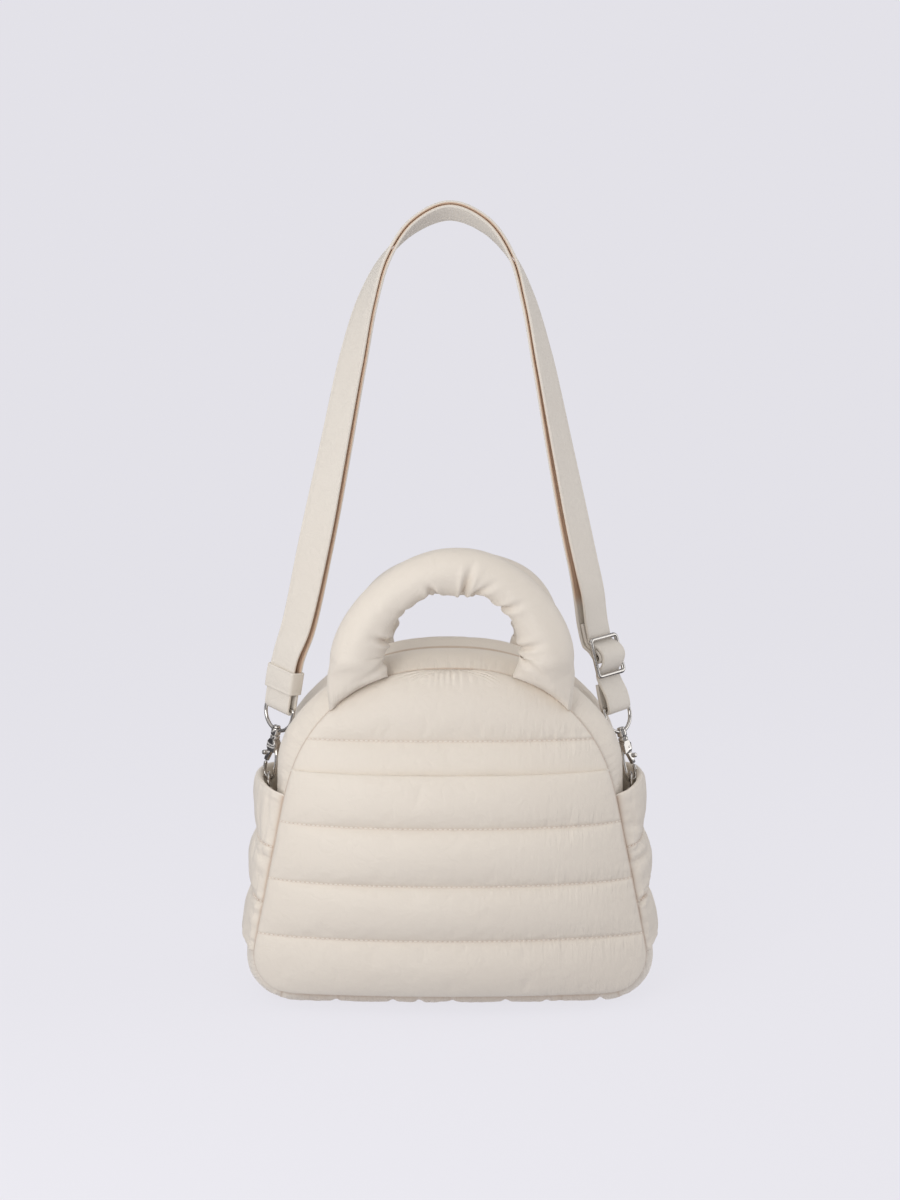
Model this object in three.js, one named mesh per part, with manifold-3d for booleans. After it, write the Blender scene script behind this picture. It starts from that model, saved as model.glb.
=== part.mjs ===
// Puffer duffel bag: a quilted dome-shaped bag with a front slip pocket, two side pockets, a zipped
// top, two padded tube handles and a doubled shoulder strap on swivel snap hooks.
// Millimetres, +Z up, the front faces -Y, and the origin is at the middle of the base.

import * as THREE from "three";
import Module from "manifold-3d";
import { mergeVertices } from "three/addons/utils/BufferGeometryUtils.js";

const wasm = await Module();
wasm.setup();

// Driving dimensions of the body
const SEAM_Z = 10; // height of the seam between a panel and the base
const APEX_Z = 232; // height of the panel seam at the top of the dome
const WAIST_Z = 143; // where the straight sides turn into the dome
const WAIST_HALF = 111; // half width of the panel there
const TAPER = 0.205; // how much wider the panel gets for each mm below the waist
const CORNER = 26; // radius of the panel's bottom corners
const DOME_POWER = 2.4; // roundness of the dome: 2 is an ellipse, more is squarer
const SIDE_DEPTH = 48; // from the middle of the bag to a panel seam, at the sides
const BASE_BOW = 12; // how much further forward the seam runs at the middle of the base
const BOW_FADE = 0.8; // share of that bow that is gone at the top
const GAP = 0.4; // between neighbouring pieces
const EDGE = 2; // thickness of a padded panel where it is sewn in
const PAD = 2; // how much thicker a padded piece is away from its edges
const PAD_RUN = 15; // how far from a seam a panel has its full padding

// Quilting: heights of the seams that run across the panels
const MOUTH_Z = 163; // top edge of the front slip pocket
const POCKET_SEAMS = [SEAM_Z, 52, 90.5, 129.5, MOUTH_Z];
const UPPER_SEAMS = [MOUTH_Z - 1, 185, 223, APEX_Z - 0.6];
const BACK_SEAMS = [SEAM_Z, 52, 90.5, 129.5, 157, 185, 223, APEX_Z - 0.6];
const SIDE_SEAMS = [23, 64, 102, 139]; // of the side pockets
const BASE_SEAM_PITCH = 38; // between the seams across the base
const BASE_SEAM_RISE = 0.4; // share of the bulge that is left at those seams
const PUFF = { pocket: 7, aboveMouth: 5.5, upper: 7, back: 7, side: 4, topBand: 2 }; // rise between seams
const POCKET_GAPE = 8.5; // how far the slip pocket's mouth stands off the panel
const OPEN_EDGE = 0.9; // share of the top channel that a pocket's rolled mouth keeps

// How far the front panel bellies out at its middle, by height
const BELLY = [
  { z: SEAM_Z, out: 1 },
  { z: 33, out: 9 },
  { z: 63, out: 15 },
  { z: 98, out: 18 },
  { z: 129, out: 17 },
  { z: 163, out: 13 },
  { z: 185, out: 9 },
  { z: 208, out: 5 },
  { z: APEX_Z, out: 0.5 },
];
const BACK_BELLY_EXTRA = 1.395; // the back has no pocket, so its panel bellies more

// How far the gusset and, above the waist, the zip strips bulge past the seam outline, by height
const BULGE = [
  { z: SEAM_Z, out: 16 },
  { z: 22, out: 13.5 },
  { z: 34, out: 8.5 },
  { z: 50, out: 6.3 },
  { z: 95, out: 9.5 },
  { z: 121, out: 8.5 },
  { z: WAIST_Z, out: 8.5 },
  { z: 180, out: 12.5 },
  { z: APEX_Z, out: 11 },
];
// How far a side pocket stands off the gusset, by height
const SIDE_STAND = [
  { z: SIDE_SEAMS[0], out: 0.2 },
  { z: SIDE_SEAMS[1], out: 3 },
  { z: SIDE_SEAMS[2], out: 9 },
  { z: SIDE_SEAMS[3], out: 10 },
];
const ZIP_HALF = 4; // half the width of the zip between its two strips
const ZIP_SINK = 3; // how far the zip lies below the strips
const ZIP_ROLL = 1.8; // how far a strip's edge rolls down to it
const ZIP_CREST = 0.8; // rise of the zip's teeth

// Handles: a flat foot sewn on above the panel seam, which rounds out into a tube on its way up
const HANDLE_FOOT = { middle: 62, halfWide: 23, halfThick: 6.5, forward: 7, lift: 0.7, rise: 6 };
const HANDLE_LEG = { share: 0.25, halfWide: 21, halfThick: 9.5 }; // part of the half path, size at its foot
const HANDLES = [
  { name: "handle_front", side: -1, halfSpan: 63, springZ: 241, topZ: 296.5, power: 1.55, lean: 3, sway: 5 },
  { name: "handle_back", side: 1, halfSpan: 65, springZ: 236, topZ: 282, power: 1.9, lean: 2, sway: 6 },
];
const HANDLE_TUBE = { top: 16, leg: 17.5 }; // radius at the top and in the legs
const FOLD_WIDTH = 0.035; // share of the half path
// Folds on the inside of the bend: place along the half path, and depth
const HANDLE_FOLDS = [
  { share: 0.47, depth: 3.2 },
  { share: 0.72, depth: 2.6 },
  { share: 0.9, depth: 2.8 },
];

// Rings, hooks and strap
const RING = { x: 126.2, z: 144, radius: 6.5, wire: 1.1, cornerWide: 1.8, cornerHigh: 1.2 };
const TAB = { wide: 8, thick: 1.2, lowZ: 125.5 };
const EYE = { half: 14.4, shoulder: 5, drop: 18, wire: 1.3, corner: 1.6 };
const STRAP = { wide: 25, thick: 2.4 };
const PLY = { close: 1.6, open: 2.9 }; // from the strap's middle line to each ply
// The two hooks: how far it is from the top of each ring to the bar of the hook's eye, how far inward
// and back the hook leans on the way, how far the eye is turned from edge-on towards the front, in
// degrees, and where the strap that runs straight on from it has its rows
const SIDES = [
  { name: "left", sign: -1, reach: 49.7, inward: 8.8, back: -4, roll: 45, straight: [0, 34] },
  { name: "right", sign: 1, reach: 47.6, inward: 10.8, back: 5, roll: 40, straight: [0, 31, 62] },
];
// Middle line of the strap between its two straight ends: place, and turn of its face
const STRAP_LINE = [
  { x: -104, y: -6.5, z: 255, roll: 54 },
  { x: -91.5, y: -2, z: 313, roll: 60 },
  { x: -78.5, y: 0, z: 375, roll: 50 },
  { x: -66, y: 0, z: 436, roll: 42 },
  { x: -55.5, y: 0, z: 477, roll: 27 },
  { x: -43, y: 0, z: 505.5, roll: 8 },
  { x: -24, y: 0, z: 527, roll: -10 },
  { x: 0, y: 0, z: 536.5, roll: -18 },
  { x: 24, y: 0, z: 527, roll: -12 },
  { x: 42, y: 0, z: 505.5, roll: 2 },
  { x: 53, y: 0, z: 477, roll: 16 },
  { x: 63, y: 0, z: 436, roll: 28 },
  { x: 75.5, y: 4, z: 375, roll: 36 },
  { x: 88.5, y: 9, z: 313, roll: 42 },
];
const KEEPER = { from: 11, to: 27, thick: 1.3 };
const SLIDER = { fromEye: 36, half: 13, wire: 1.3, corner: 2.4, above: 3 };
const FLAP = { upper: 26, lower: 18 }; // sewn ends at the slider and at the right hook

// Finishes
const nylon = new THREE.MeshStandardMaterial({ color: 0xe6dacb, roughness: 0.6, metalness: 0 });
const webbing = new THREE.MeshStandardMaterial({ color: 0xe4d9ca, roughness: 0.65, metalness: 0 });
const zipper = new THREE.MeshStandardMaterial({ color: 0xc9b7a2, roughness: 0.6, metalness: 0 });
const nickel = new THREE.MeshStandardMaterial({ color: 0xa9a7a6, roughness: 0.22, metalness: 1 });

const bag = new THREE.Group();

function addPiece(group, name, geometry, material) {
  const mesh = new THREE.Mesh(geometry, material);
  mesh.name = name;
  group.add(mesh);
  return mesh;
}

// A closed geometry from points and triangles, turned so that its faces point out
function closedGeometry(points, triangles) {
  const volume = triangles.reduce((sum, [a, b, c]) => {
    const turned = new THREE.Vector3().crossVectors(points[b], points[c]);
    return sum + points[a].dot(turned);
  }, 0);
  const index = triangles.flatMap(([a, b, c]) => (volume < 0 ? [a, c, b] : [a, b, c]));
  return new THREE.BufferGeometry().setFromPoints(points).setIndex(index);
}

// A wall with two skins: rows of cells, each with a point on the outer and on the inner skin
function wallGeometry(rows) {
  const across = rows[0].length;
  const points = rows.flat().flatMap((cell) => [cell.outer, cell.inner]);
  const at = (row, column, skin) => 2 * (row * across + column) + skin;
  const triangles = [];
  const quad = (a, b, c, d) => triangles.push([a, b, c], [a, c, d]);
  const lastRow = rows.length - 1;
  const lastColumn = across - 1;
  for (let r = 0; r < lastRow; r++) {
    for (let c = 0; c < lastColumn; c++) {
      quad(at(r, c, 0), at(r, c + 1, 0), at(r + 1, c + 1, 0), at(r + 1, c, 0));
      quad(at(r, c, 1), at(r + 1, c, 1), at(r + 1, c + 1, 1), at(r, c + 1, 1));
    }
    quad(at(r, 0, 0), at(r + 1, 0, 0), at(r + 1, 0, 1), at(r, 0, 1));
    quad(at(r, lastColumn, 0), at(r, lastColumn, 1), at(r + 1, lastColumn, 1), at(r + 1, lastColumn, 0));
  }
  for (let c = 0; c < lastColumn; c++) {
    quad(at(0, c, 0), at(0, c, 1), at(0, c + 1, 1), at(0, c + 1, 0));
    quad(at(lastRow, c, 0), at(lastRow, c + 1, 0), at(lastRow, c + 1, 1), at(lastRow, c, 1));
  }
  return closedGeometry(points, triangles);
}

// A solid through rings of points that all have the same number of corners
function sweptGeometry(rings, closed = false) {
  const sides = rings[0].length;
  const points = rings.flat();
  const triangles = [];
  const steps = closed ? rings.length : rings.length - 1;
  for (let r = 0; r < steps; r++) {
    const here = r * sides;
    const next = ((r + 1) % rings.length) * sides;
    for (let k = 0; k < sides; k++) {
      const k2 = (k + 1) % sides;
      triangles.push([here + k, here + k2, next + k2], [here + k, next + k2, next + k]);
    }
  }
  if (!closed) {
    const end = (rings.length - 1) * sides;
    for (let k = 1; k < sides - 1; k++) {
      triangles.push([0, k + 1, k], [end, end + k, end + k + 1]);
    }
  }
  return closedGeometry(points, triangles);
}

// Between a geometry and a solid that can be joined and cut
function solidOf(geometry) {
  const bare = geometry.clone().deleteAttribute("normal").deleteAttribute("uv");
  const merged = mergeVertices(bare, 1e-4);
  return new wasm.Manifold(
    new wasm.Mesh({
      numProp: 3,
      vertProperties: merged.attributes.position.array,
      triVerts: new Uint32Array(merged.index.array),
    }),
  );
}

function geometryOf(solid) {
  const mesh = solid.getMesh();
  const geometry = new THREE.BufferGeometry();
  geometry.setAttribute("position", new THREE.BufferAttribute(mesh.vertProperties, 3));
  return geometry.setIndex(new THREE.BufferAttribute(mesh.triVerts, 1));
}

const joined = (geometries) => geometries.map(solidOf).reduce((all, next) => all.add(next));

// The panel outline
const taperHalf = (z) => WAIST_HALF + TAPER * (WAIST_Z - z);
const SLANT = Math.hypot(1, TAPER);
const CORNER_Z = SEAM_Z + CORNER;
const CORNER_X = taperHalf(CORNER_Z) - CORNER * SLANT;
const CORNER_STEPS = 5;
const SIDE_HEIGHTS = [73, 98, 121]; // stations up the straight sides
const DOME_STEPS = 12;

// Half width of a panel at a height
function halfWidth(z) {
  if (z >= WAIST_Z) {
    const climb = (z - WAIST_Z) / (APEX_Z - WAIST_Z);
    return taperHalf(z) * (1 - climb ** DOME_POWER) ** (1 / DOME_POWER);
  }
  if (z >= CORNER_Z + (CORNER * TAPER) / SLANT) return taperHalf(z);
  return CORNER_X + Math.sqrt(CORNER ** 2 - (CORNER_Z - z) ** 2);
}

// From the middle of the bag to a panel seam
function seamDepth(x, z) {
  const base = 1 - (BOW_FADE * z) / APEX_Z;
  return SIDE_DEPTH + BASE_BOW * base * (1 - (x / taperHalf(0)) ** 2);
}

// The right half of the outline, from the middle of the base to the top of the dome
function halfOutline() {
  const points = [0, 0.33, 0.67].map((share) => new THREE.Vector2(share * CORNER_X, SEAM_Z));
  const turn = Math.PI / 2 + Math.atan(TAPER);
  for (let k = 0; k <= CORNER_STEPS; k++) {
    const angle = -Math.PI / 2 + (turn * k) / CORNER_STEPS;
    points.push(
      new THREE.Vector2(CORNER_X + CORNER * Math.cos(angle), CORNER_Z + CORNER * Math.sin(angle)),
    );
  }
  for (const z of SIDE_HEIGHTS) points.push(new THREE.Vector2(taperHalf(z), z));
  for (let k = 0; k <= DOME_STEPS; k++) {
    const z = WAIST_Z + (APEX_Z - WAIST_Z) * Math.sin(((k / DOME_STEPS) * Math.PI) / 2);
    points.push(new THREE.Vector2(k === DOME_STEPS ? 0 : halfWidth(z), z));
  }
  const curve = new THREE.SplineCurve(points);
  curve.arcLengthDivisions = 600;
  return curve;
}

const outline = halfOutline();
const OUTLINE_LENGTH = outline.getLength();

// Point and outward direction at a distance along the outline, negative on the left side
function outlineAt(distance) {
  const share = Math.min(1, Math.abs(distance) / OUTLINE_LENGTH);
  const side = distance < 0 ? -1 : 1;
  const point = outline.getPointAt(share);
  const along = outline.getTangentAt(share);
  return { x: side * point.x, z: point.y, outX: side * along.y, outZ: -along.x };
}

// Distance along the outline where it reaches a height
function distanceAtHeight(z) {
  let low = 0;
  let high = 1;
  for (let k = 0; k < 40; k++) {
    const mid = (low + high) / 2;
    if (outline.getPointAt(mid).y < z) low = mid;
    else high = mid;
  }
  return low * OUTLINE_LENGTH;
}

// Profiles shared by the padded pieces
const lerp = THREE.MathUtils.lerp;

// A value between the rows of a { z, out } table
function fromTable(table, z) {
  const k = table.findIndex((row, i) => i === table.length - 2 || z <= table[i + 1].z);
  const share = THREE.MathUtils.clamp((z - table[k].z) / (table[k + 1].z - table[k].z), 0, 1);
  return lerp(table[k].out, table[k + 1].out, share);
}

const domeProfile = (u) => Math.max(0, 1 - Math.abs(u) ** 2.2) ** 0.6; // across a panel, u is -1 to 1
const stripProfile = (t) => (4 * t * (1 - t)) ** 0.55; // across the gusset, t is 0 to 1
const channelProfile = (c) => Math.max(0, 4 * c * (1 - c)) ** 0.6; // between two quilting seams

const CHANNEL_STEPS = [0, 0.14, 0.5, 0.86];
const ACROSS = [-1, -0.94, -0.82, -0.62, -0.38, -0.13, 0.13, 0.38, 0.62, 0.82, 0.94, 1];

// Heights of the rows of a quilted piece, with the place of each row in its channel.
// The top channel of a pocket ends in a rolled edge, short of a seam.
function quiltRows(seams, topShare = 1) {
  const rows = [];
  const top = seams.length - 2;
  for (let k = 0; k <= top; k++) {
    const steps = k === top ? [...CHANNEL_STEPS, 1] : CHANNEL_STEPS;
    for (const c of steps) {
      rows.push({ at: lerp(seams[k], seams[k + 1], c), c: k === top ? c * topShare : c, channel: k });
    }
  }
  return rows;
}

// Front and back panels and the slip pocket
const panelOut = (u, z) => fromTable(BELLY, z) * domeProfile(u);

// Share of the full padding inside a panel: none at its seams
function paddingAt(u, z) {
  const fromSeam = Math.min(z - SEAM_Z, APEX_Z - z) / PAD_RUN;
  return domeProfile(u) * THREE.MathUtils.smoothstep(fromSeam, 0.2, 1);
}

// One row of a panel: outer and inner give the distance from the seam plane at each place across
function panelRow(side, z, outer, inner) {
  const half = halfWidth(z);
  return ACROSS.map((u) => {
    const x = u * half;
    const depth = seamDepth(x, z);
    return {
      outer: new THREE.Vector3(x, side * (depth + outer(u)), z),
      inner: new THREE.Vector3(x, side * (depth + inner(u)), z),
    };
  });
}

function frontPanel() {
  const behindPocket = quiltRows(POCKET_SEAMS).filter(
    (row) => row.at < UPPER_SEAMS[0] - 2 && (row.channel === 0 || row.c === 0 || row.c === 0.5),
  );
  const puffs = [PUFF.aboveMouth, PUFF.upper, PUFF.topBand];
  const rows = [
    ...behindPocket.map((row) => ({ at: row.at, puff: 0 })),
    ...quiltRows(UPPER_SEAMS).map((row) => ({
      at: row.at,
      puff: puffs[row.channel] * channelProfile(row.c),
    })),
  ];
  return wallGeometry(
    rows.map(({ at, puff }) =>
      panelRow(
        -1,
        at,
        (u) => EDGE / 2 + panelOut(u, at) + puff * domeProfile(u),
        (u) => -EDGE / 2 + panelOut(u, at) - PAD * paddingAt(u, at),
      ),
    ),
  );
}

function frontPocket() {
  const stand = (z) => POCKET_GAPE * ((z - SEAM_Z) / (MOUTH_Z - SEAM_Z)) ** 1.5;
  const inside = (u, z) => EDGE / 2 + GAP + panelOut(u, z) + stand(z) * domeProfile(u);
  return wallGeometry(
    quiltRows(POCKET_SEAMS, OPEN_EDGE).map(({ at, c }) =>
      panelRow(
        -1,
        at,
        (u) => inside(u, at) + EDGE + PUFF.pocket * channelProfile(c) * domeProfile(u),
        (u) => inside(u, at),
      ),
    ),
  );
}

function backPanel() {
  const belly = (u, z) => BACK_BELLY_EXTRA * panelOut(u, z);
  return wallGeometry(
    quiltRows(BACK_SEAMS).map(({ at, c, channel }) => {
      const puff = (channel === 6 ? PUFF.topBand : PUFF.back) * channelProfile(c);
      return panelRow(
        1,
        at,
        (u) => EDGE / 2 + belly(u, at) + puff * domeProfile(u),
        (u) => -EDGE / 2 + belly(u, at) - PAD * paddingAt(u, at),
      );
    }),
  );
}

// Gusset, zip strips and side pockets: strips along the outline between the two panel seams
const ZIP_END = distanceAtHeight(WAIST_Z - 2); // where the gusset gives way to the zip
const POCKET_FOOT = distanceAtHeight(SIDE_SEAMS[0]); // where a side pocket's bottom is sewn on

// A point of a strip: t runs from the front seam to the back one, and off is how far out it lies
function stripPoint(distance, t, off) {
  const { x, z, outX, outZ } = outlineAt(distance);
  const reach = seamDepth(x, z) - EDGE / 2 - GAP;
  return new THREE.Vector3(x + off * outX, (2 * t - 1) * reach, Math.max(0, z + off * outZ));
}

// How far the gusset's outer skin lies past the outline
function gussetOut(distance, t) {
  const bulge = fromTable(BULGE, outlineAt(distance).z) * stripProfile(t);
  const reach = Math.abs(distance);
  if (reach > POCKET_FOOT) return bulge;
  const pinch = lerp(BASE_SEAM_RISE, 1, channelProfile((reach / BASE_SEAM_PITCH) % 1));
  return bulge * pinch;
}

function gusset() {
  const half = [];
  for (let k = 0; k * BASE_SEAM_PITCH < POCKET_FOOT; k++) {
    for (const c of CHANNEL_STEPS) half.push((k + c) * BASE_SEAM_PITCH);
  }
  const belowPocket = half.filter((d) => d < POCKET_FOOT - 2);
  const behindPocket = quiltRows(SIDE_SEAMS)
    .filter((row) => row.channel === 0 || row.c === 0 || row.c === 0.5)
    .map((row) => distanceAtHeight(row.at));
  const rightHalf = [...belowPocket, ...behindPocket, ZIP_END - GAP];
  const stations = [...rightHalf.slice(1).map((d) => -d).reverse(), ...rightHalf];
  const across = [0, 0.07, 0.25, 0.5, 0.75, 0.93, 1];
  return wallGeometry(
    stations.map((d) =>
      across.map((t) => ({
        outer: stripPoint(d, t, gussetOut(d, t)),
        inner: stripPoint(d, t, -EDGE - PAD * stripProfile(t)),
      })),
    ),
  );
}

const ZIP_STATIONS = 12; // on each side of the dome's top

function zipStations() {
  const half = Array.from({ length: ZIP_STATIONS }, (_, k) =>
    lerp(ZIP_END, OUTLINE_LENGTH, k / ZIP_STATIONS),
  );
  return { right: half, left: half.map((d) => -d).reverse() };
}

// Stations over the top from the right end to the left end
function overTheTop(cellsAt) {
  const { right, left } = zipStations();
  return [...right, OUTLINE_LENGTH, ...left].map(cellsAt);
}

const zipOut = (distance) => fromTable(BULGE, outlineAt(distance).z);

// A zip strip between two places across, with its edge at the zip rolled down
function zipStrip(across, zipEdge) {
  return wallGeometry(
    overTheTop((d) =>
      across.map((t) => {
        const off = zipOut(d) * stripProfile(t) - (t === zipEdge ? ZIP_ROLL : 0);
        return { outer: stripPoint(d, t, off), inner: stripPoint(d, t, off - EDGE) };
      }),
    ),
  );
}

const ZIP_EDGE = 0.5 - ZIP_HALF / (2 * SIDE_DEPTH);
const STRIP_ACROSS = [0, 0.06, 0.18, 0.33, 0.41, ZIP_EDGE];

function zipChain() {
  const inset = ZIP_EDGE + GAP / (2 * SIDE_DEPTH);
  return wallGeometry(
    overTheTop((d) =>
      [inset, 0.5, 1 - inset].map((t) => {
        const off = zipOut(d) - ZIP_SINK;
        return {
          outer: stripPoint(d, t, off + (t === 0.5 ? ZIP_CREST : 0)),
          inner: stripPoint(d, t, off - EDGE),
        };
      }),
    ),
  );
}

function sidePocket(side) {
  const across = [0.005, 0.06, 0.16, 0.33, 0.5, 0.67, 0.84, 0.94, 0.995];
  return wallGeometry(
    quiltRows(SIDE_SEAMS, OPEN_EDGE).map(({ at, c }) => {
      const d = distanceAtHeight(at);
      const stand = fromTable(SIDE_STAND, at);
      return across.map((t) => {
        const inside = gussetOut(d, t) + GAP + stand * stripProfile(t);
        const puff = PUFF.side * channelProfile(c) * stripProfile(t);
        return {
          outer: stripPoint(side * d, t, inside + EDGE + puff),
          inner: stripPoint(side * d, t, inside),
        };
      });
    }),
  );
}

addPiece(bag, "front_panel", frontPanel(), nylon);
addPiece(bag, "front_pocket", frontPocket(), nylon);
addPiece(bag, "back_panel", backPanel(), nylon);
addPiece(bag, "gusset", gusset(), nylon);
addPiece(bag, "zip_strip_front", zipStrip(STRIP_ACROSS, ZIP_EDGE), nylon);
addPiece(bag, "zip_strip_back", zipStrip(STRIP_ACROSS.map((t) => 1 - t).reverse(), 1 - ZIP_EDGE), nylon);
addPiece(bag, "zip_chain", zipChain(), zipper);
addPiece(bag, "side_pocket_left", sidePocket(-1), nylon);
addPiece(bag, "side_pocket_right", sidePocket(1), nylon);

// Handles: padded tubes whose feet follow the panel seam
const TUBE_SIDES = 10;

// Ring of a foot, lying on the dome just above the panel seam
function footRing(handle, sign) {
  const middle = distanceAtHeight(footHeight());
  return Array.from({ length: TUBE_SIDES }, (_, k) => {
    const angle = (2 * Math.PI * k) / TUBE_SIDES;
    const spot = outlineAt(middle - HANDLE_FOOT.halfWide * Math.cos(angle));
    const depth = seamDepth(spot.x, spot.z) + HANDLE_FOOT.forward;
    return new THREE.Vector3(
      sign * (spot.x + HANDLE_FOOT.lift * spot.outX),
      handle.side * (depth + HANDLE_FOOT.halfThick * Math.sin(angle)),
      spot.z + HANDLE_FOOT.lift * spot.outZ,
    );
  });
}

// Height on the dome where a handle's foot has its middle
function footHeight() {
  let z = APEX_Z - 1;
  while (halfWidth(z) < HANDLE_FOOT.middle) z -= 0.5;
  return z;
}

// How far a fold draws the inside of the bend in, at a place along the half path
function foldDepth(share) {
  return HANDLE_FOLDS.reduce(
    (sum, fold) => sum + fold.depth * Math.exp(-(((share - fold.share) / FOLD_WIDTH) ** 2)),
    0,
  );
}

// Rings of half a handle, from just above its foot to the top
function handleHalf(handle, sign) {
  const legRows = [0.25, 0.6];
  const archRows = [0, 0.12, 0.24, 0.34, 0.44, 0.55, 0.64, 0.72, 0.8, 0.9, 1];
  const foot = { x: HANDLE_FOOT.middle, z: footHeight() + HANDLE_FOOT.rise };
  const footDepth = seamDepth(foot.x, foot.z) + HANDLE_FOOT.forward;
  const spots = [
    ...legRows.map((share) => ({
      x: lerp(foot.x, handle.halfSpan, share),
      z: lerp(foot.z, handle.springZ, share),
      turn: 0,
      share: HANDLE_LEG.share * share,
      flat: 1 - share,
    })),
    ...archRows.map((share) => {
      const angle = (share * Math.PI) / 2;
      return {
        x: handle.halfSpan * Math.cos(angle) ** (2 / handle.power),
        z: handle.springZ + (handle.topZ - handle.springZ) * Math.sin(angle) ** (2 / handle.power),
        turn: angle,
        share: lerp(HANDLE_LEG.share, 1, share),
        flat: 0,
      };
    }),
  ];
  return spots.map(({ x, z, turn, share, flat }) => {
    const radius = lerp(HANDLE_TUBE.leg, HANDLE_TUBE.top, share);
    const wide = lerp(radius, HANDLE_LEG.halfWide, flat);
    const thick = lerp(radius, HANDLE_LEG.halfThick, flat);
    const y = handle.side * (footDepth + handle.lean * share);
    return Array.from({ length: TUBE_SIDES }, (_, k) => {
      const angle = (2 * Math.PI * k) / TUBE_SIDES;
      const inward = Math.max(0, -Math.cos(angle)) ** 2;
      const out = wide * Math.cos(angle) + foldDepth(share) * inward;
      return new THREE.Vector3(
        sign * (x + out * Math.cos(turn)) + handle.sway * share,
        y + handle.side * thick * Math.sin(angle),
        z + out * Math.sin(turn),
      );
    });
  });
}

function handleGeometry(handle) {
  const right = handleHalf(handle, 1);
  const left = handleHalf(handle, -1).slice(0, -1);
  return sweptGeometry([
    footRing(handle, 1),
    ...right,
    ...left.reverse(),
    footRing(handle, -1),
  ]);
}

for (const handle of HANDLES) addPiece(bag, handle.name, handleGeometry(handle), nylon);

// A row of the strap's line, some way up from the bar of a hook's eye
function strapEnd(side, up) {
  const lift = Math.sqrt(side.reach ** 2 - side.inward ** 2 - side.back ** 2);
  const scale = 1 + up / side.reach;
  return {
    x: side.sign * (RING.x - scale * side.inward),
    y: scale * side.back,
    z: RING.z + RING.radius + scale * lift,
    roll: side.roll,
  };
}

const [leftEnd, rightEnd] = SIDES.map((side) => side.straight.map((up) => strapEnd(side, up)));
const wholeLine = [...leftEnd, ...STRAP_LINE, ...rightEnd.toReversed()];
const spine = new THREE.CatmullRomCurve3(wholeLine.map((row) => new THREE.Vector3(row.x, row.y, row.z)));
const rollLine = new THREE.CatmullRomCurve3(wholeLine.map((row) => new THREE.Vector3(row.roll, 0, 0)));
spine.arcLengthDivisions = 800;
const SPINE_LENGTH = spine.getLength();

// Place and directions of the strap at a distance from the left hook's eye
function strapFrame(distance) {
  const held = THREE.MathUtils.clamp(distance, 0, SPINE_LENGTH);
  const t = spine.getUtoTmapping(held / SPINE_LENGTH);
  const along = spine.getTangent(t);
  const out = new THREE.Vector3().crossVectors(along, new THREE.Vector3(0, 1, 0)).normalize();
  const back = new THREE.Vector3().crossVectors(out, along);
  const roll = THREE.MathUtils.degToRad(rollLine.getPoint(t).x);
  return {
    middle: spine.getPoint(t).addScaledVector(along, distance - held),
    along,
    across: back.clone().multiplyScalar(Math.cos(roll)).addScaledVector(out, Math.sin(roll)),
    face: out.clone().multiplyScalar(Math.cos(roll)).addScaledVector(back, -Math.sin(roll)),
  };
}

// A point given by its distance along the strap, height off the middle line and place across
function strapPoint(distance, height, across) {
  const frame = strapFrame(distance);
  return frame.middle.addScaledVector(frame.face, height).addScaledVector(frame.across, across);
}

// How far a ply lies from the middle line
function plyHeight(distance) {
  const fromTop = Math.abs(strapFrame(distance).middle.x) / 80;
  return lerp(PLY.close, PLY.open, THREE.MathUtils.smoothstep(fromTop, 0.3, 1));
}

// Half turn round a bar, from the first side to the other: forward is 1 past the right bar
function roundBar(distance, height, radius, forward, firstSide) {
  return [-60, -30, 0, 30, 60].map((degrees) => {
    const angle = THREE.MathUtils.degToRad(degrees);
    return {
      d: distance + forward * radius * Math.cos(angle),
      h: height - firstSide * radius * Math.sin(angle),
    };
  });
}

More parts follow.
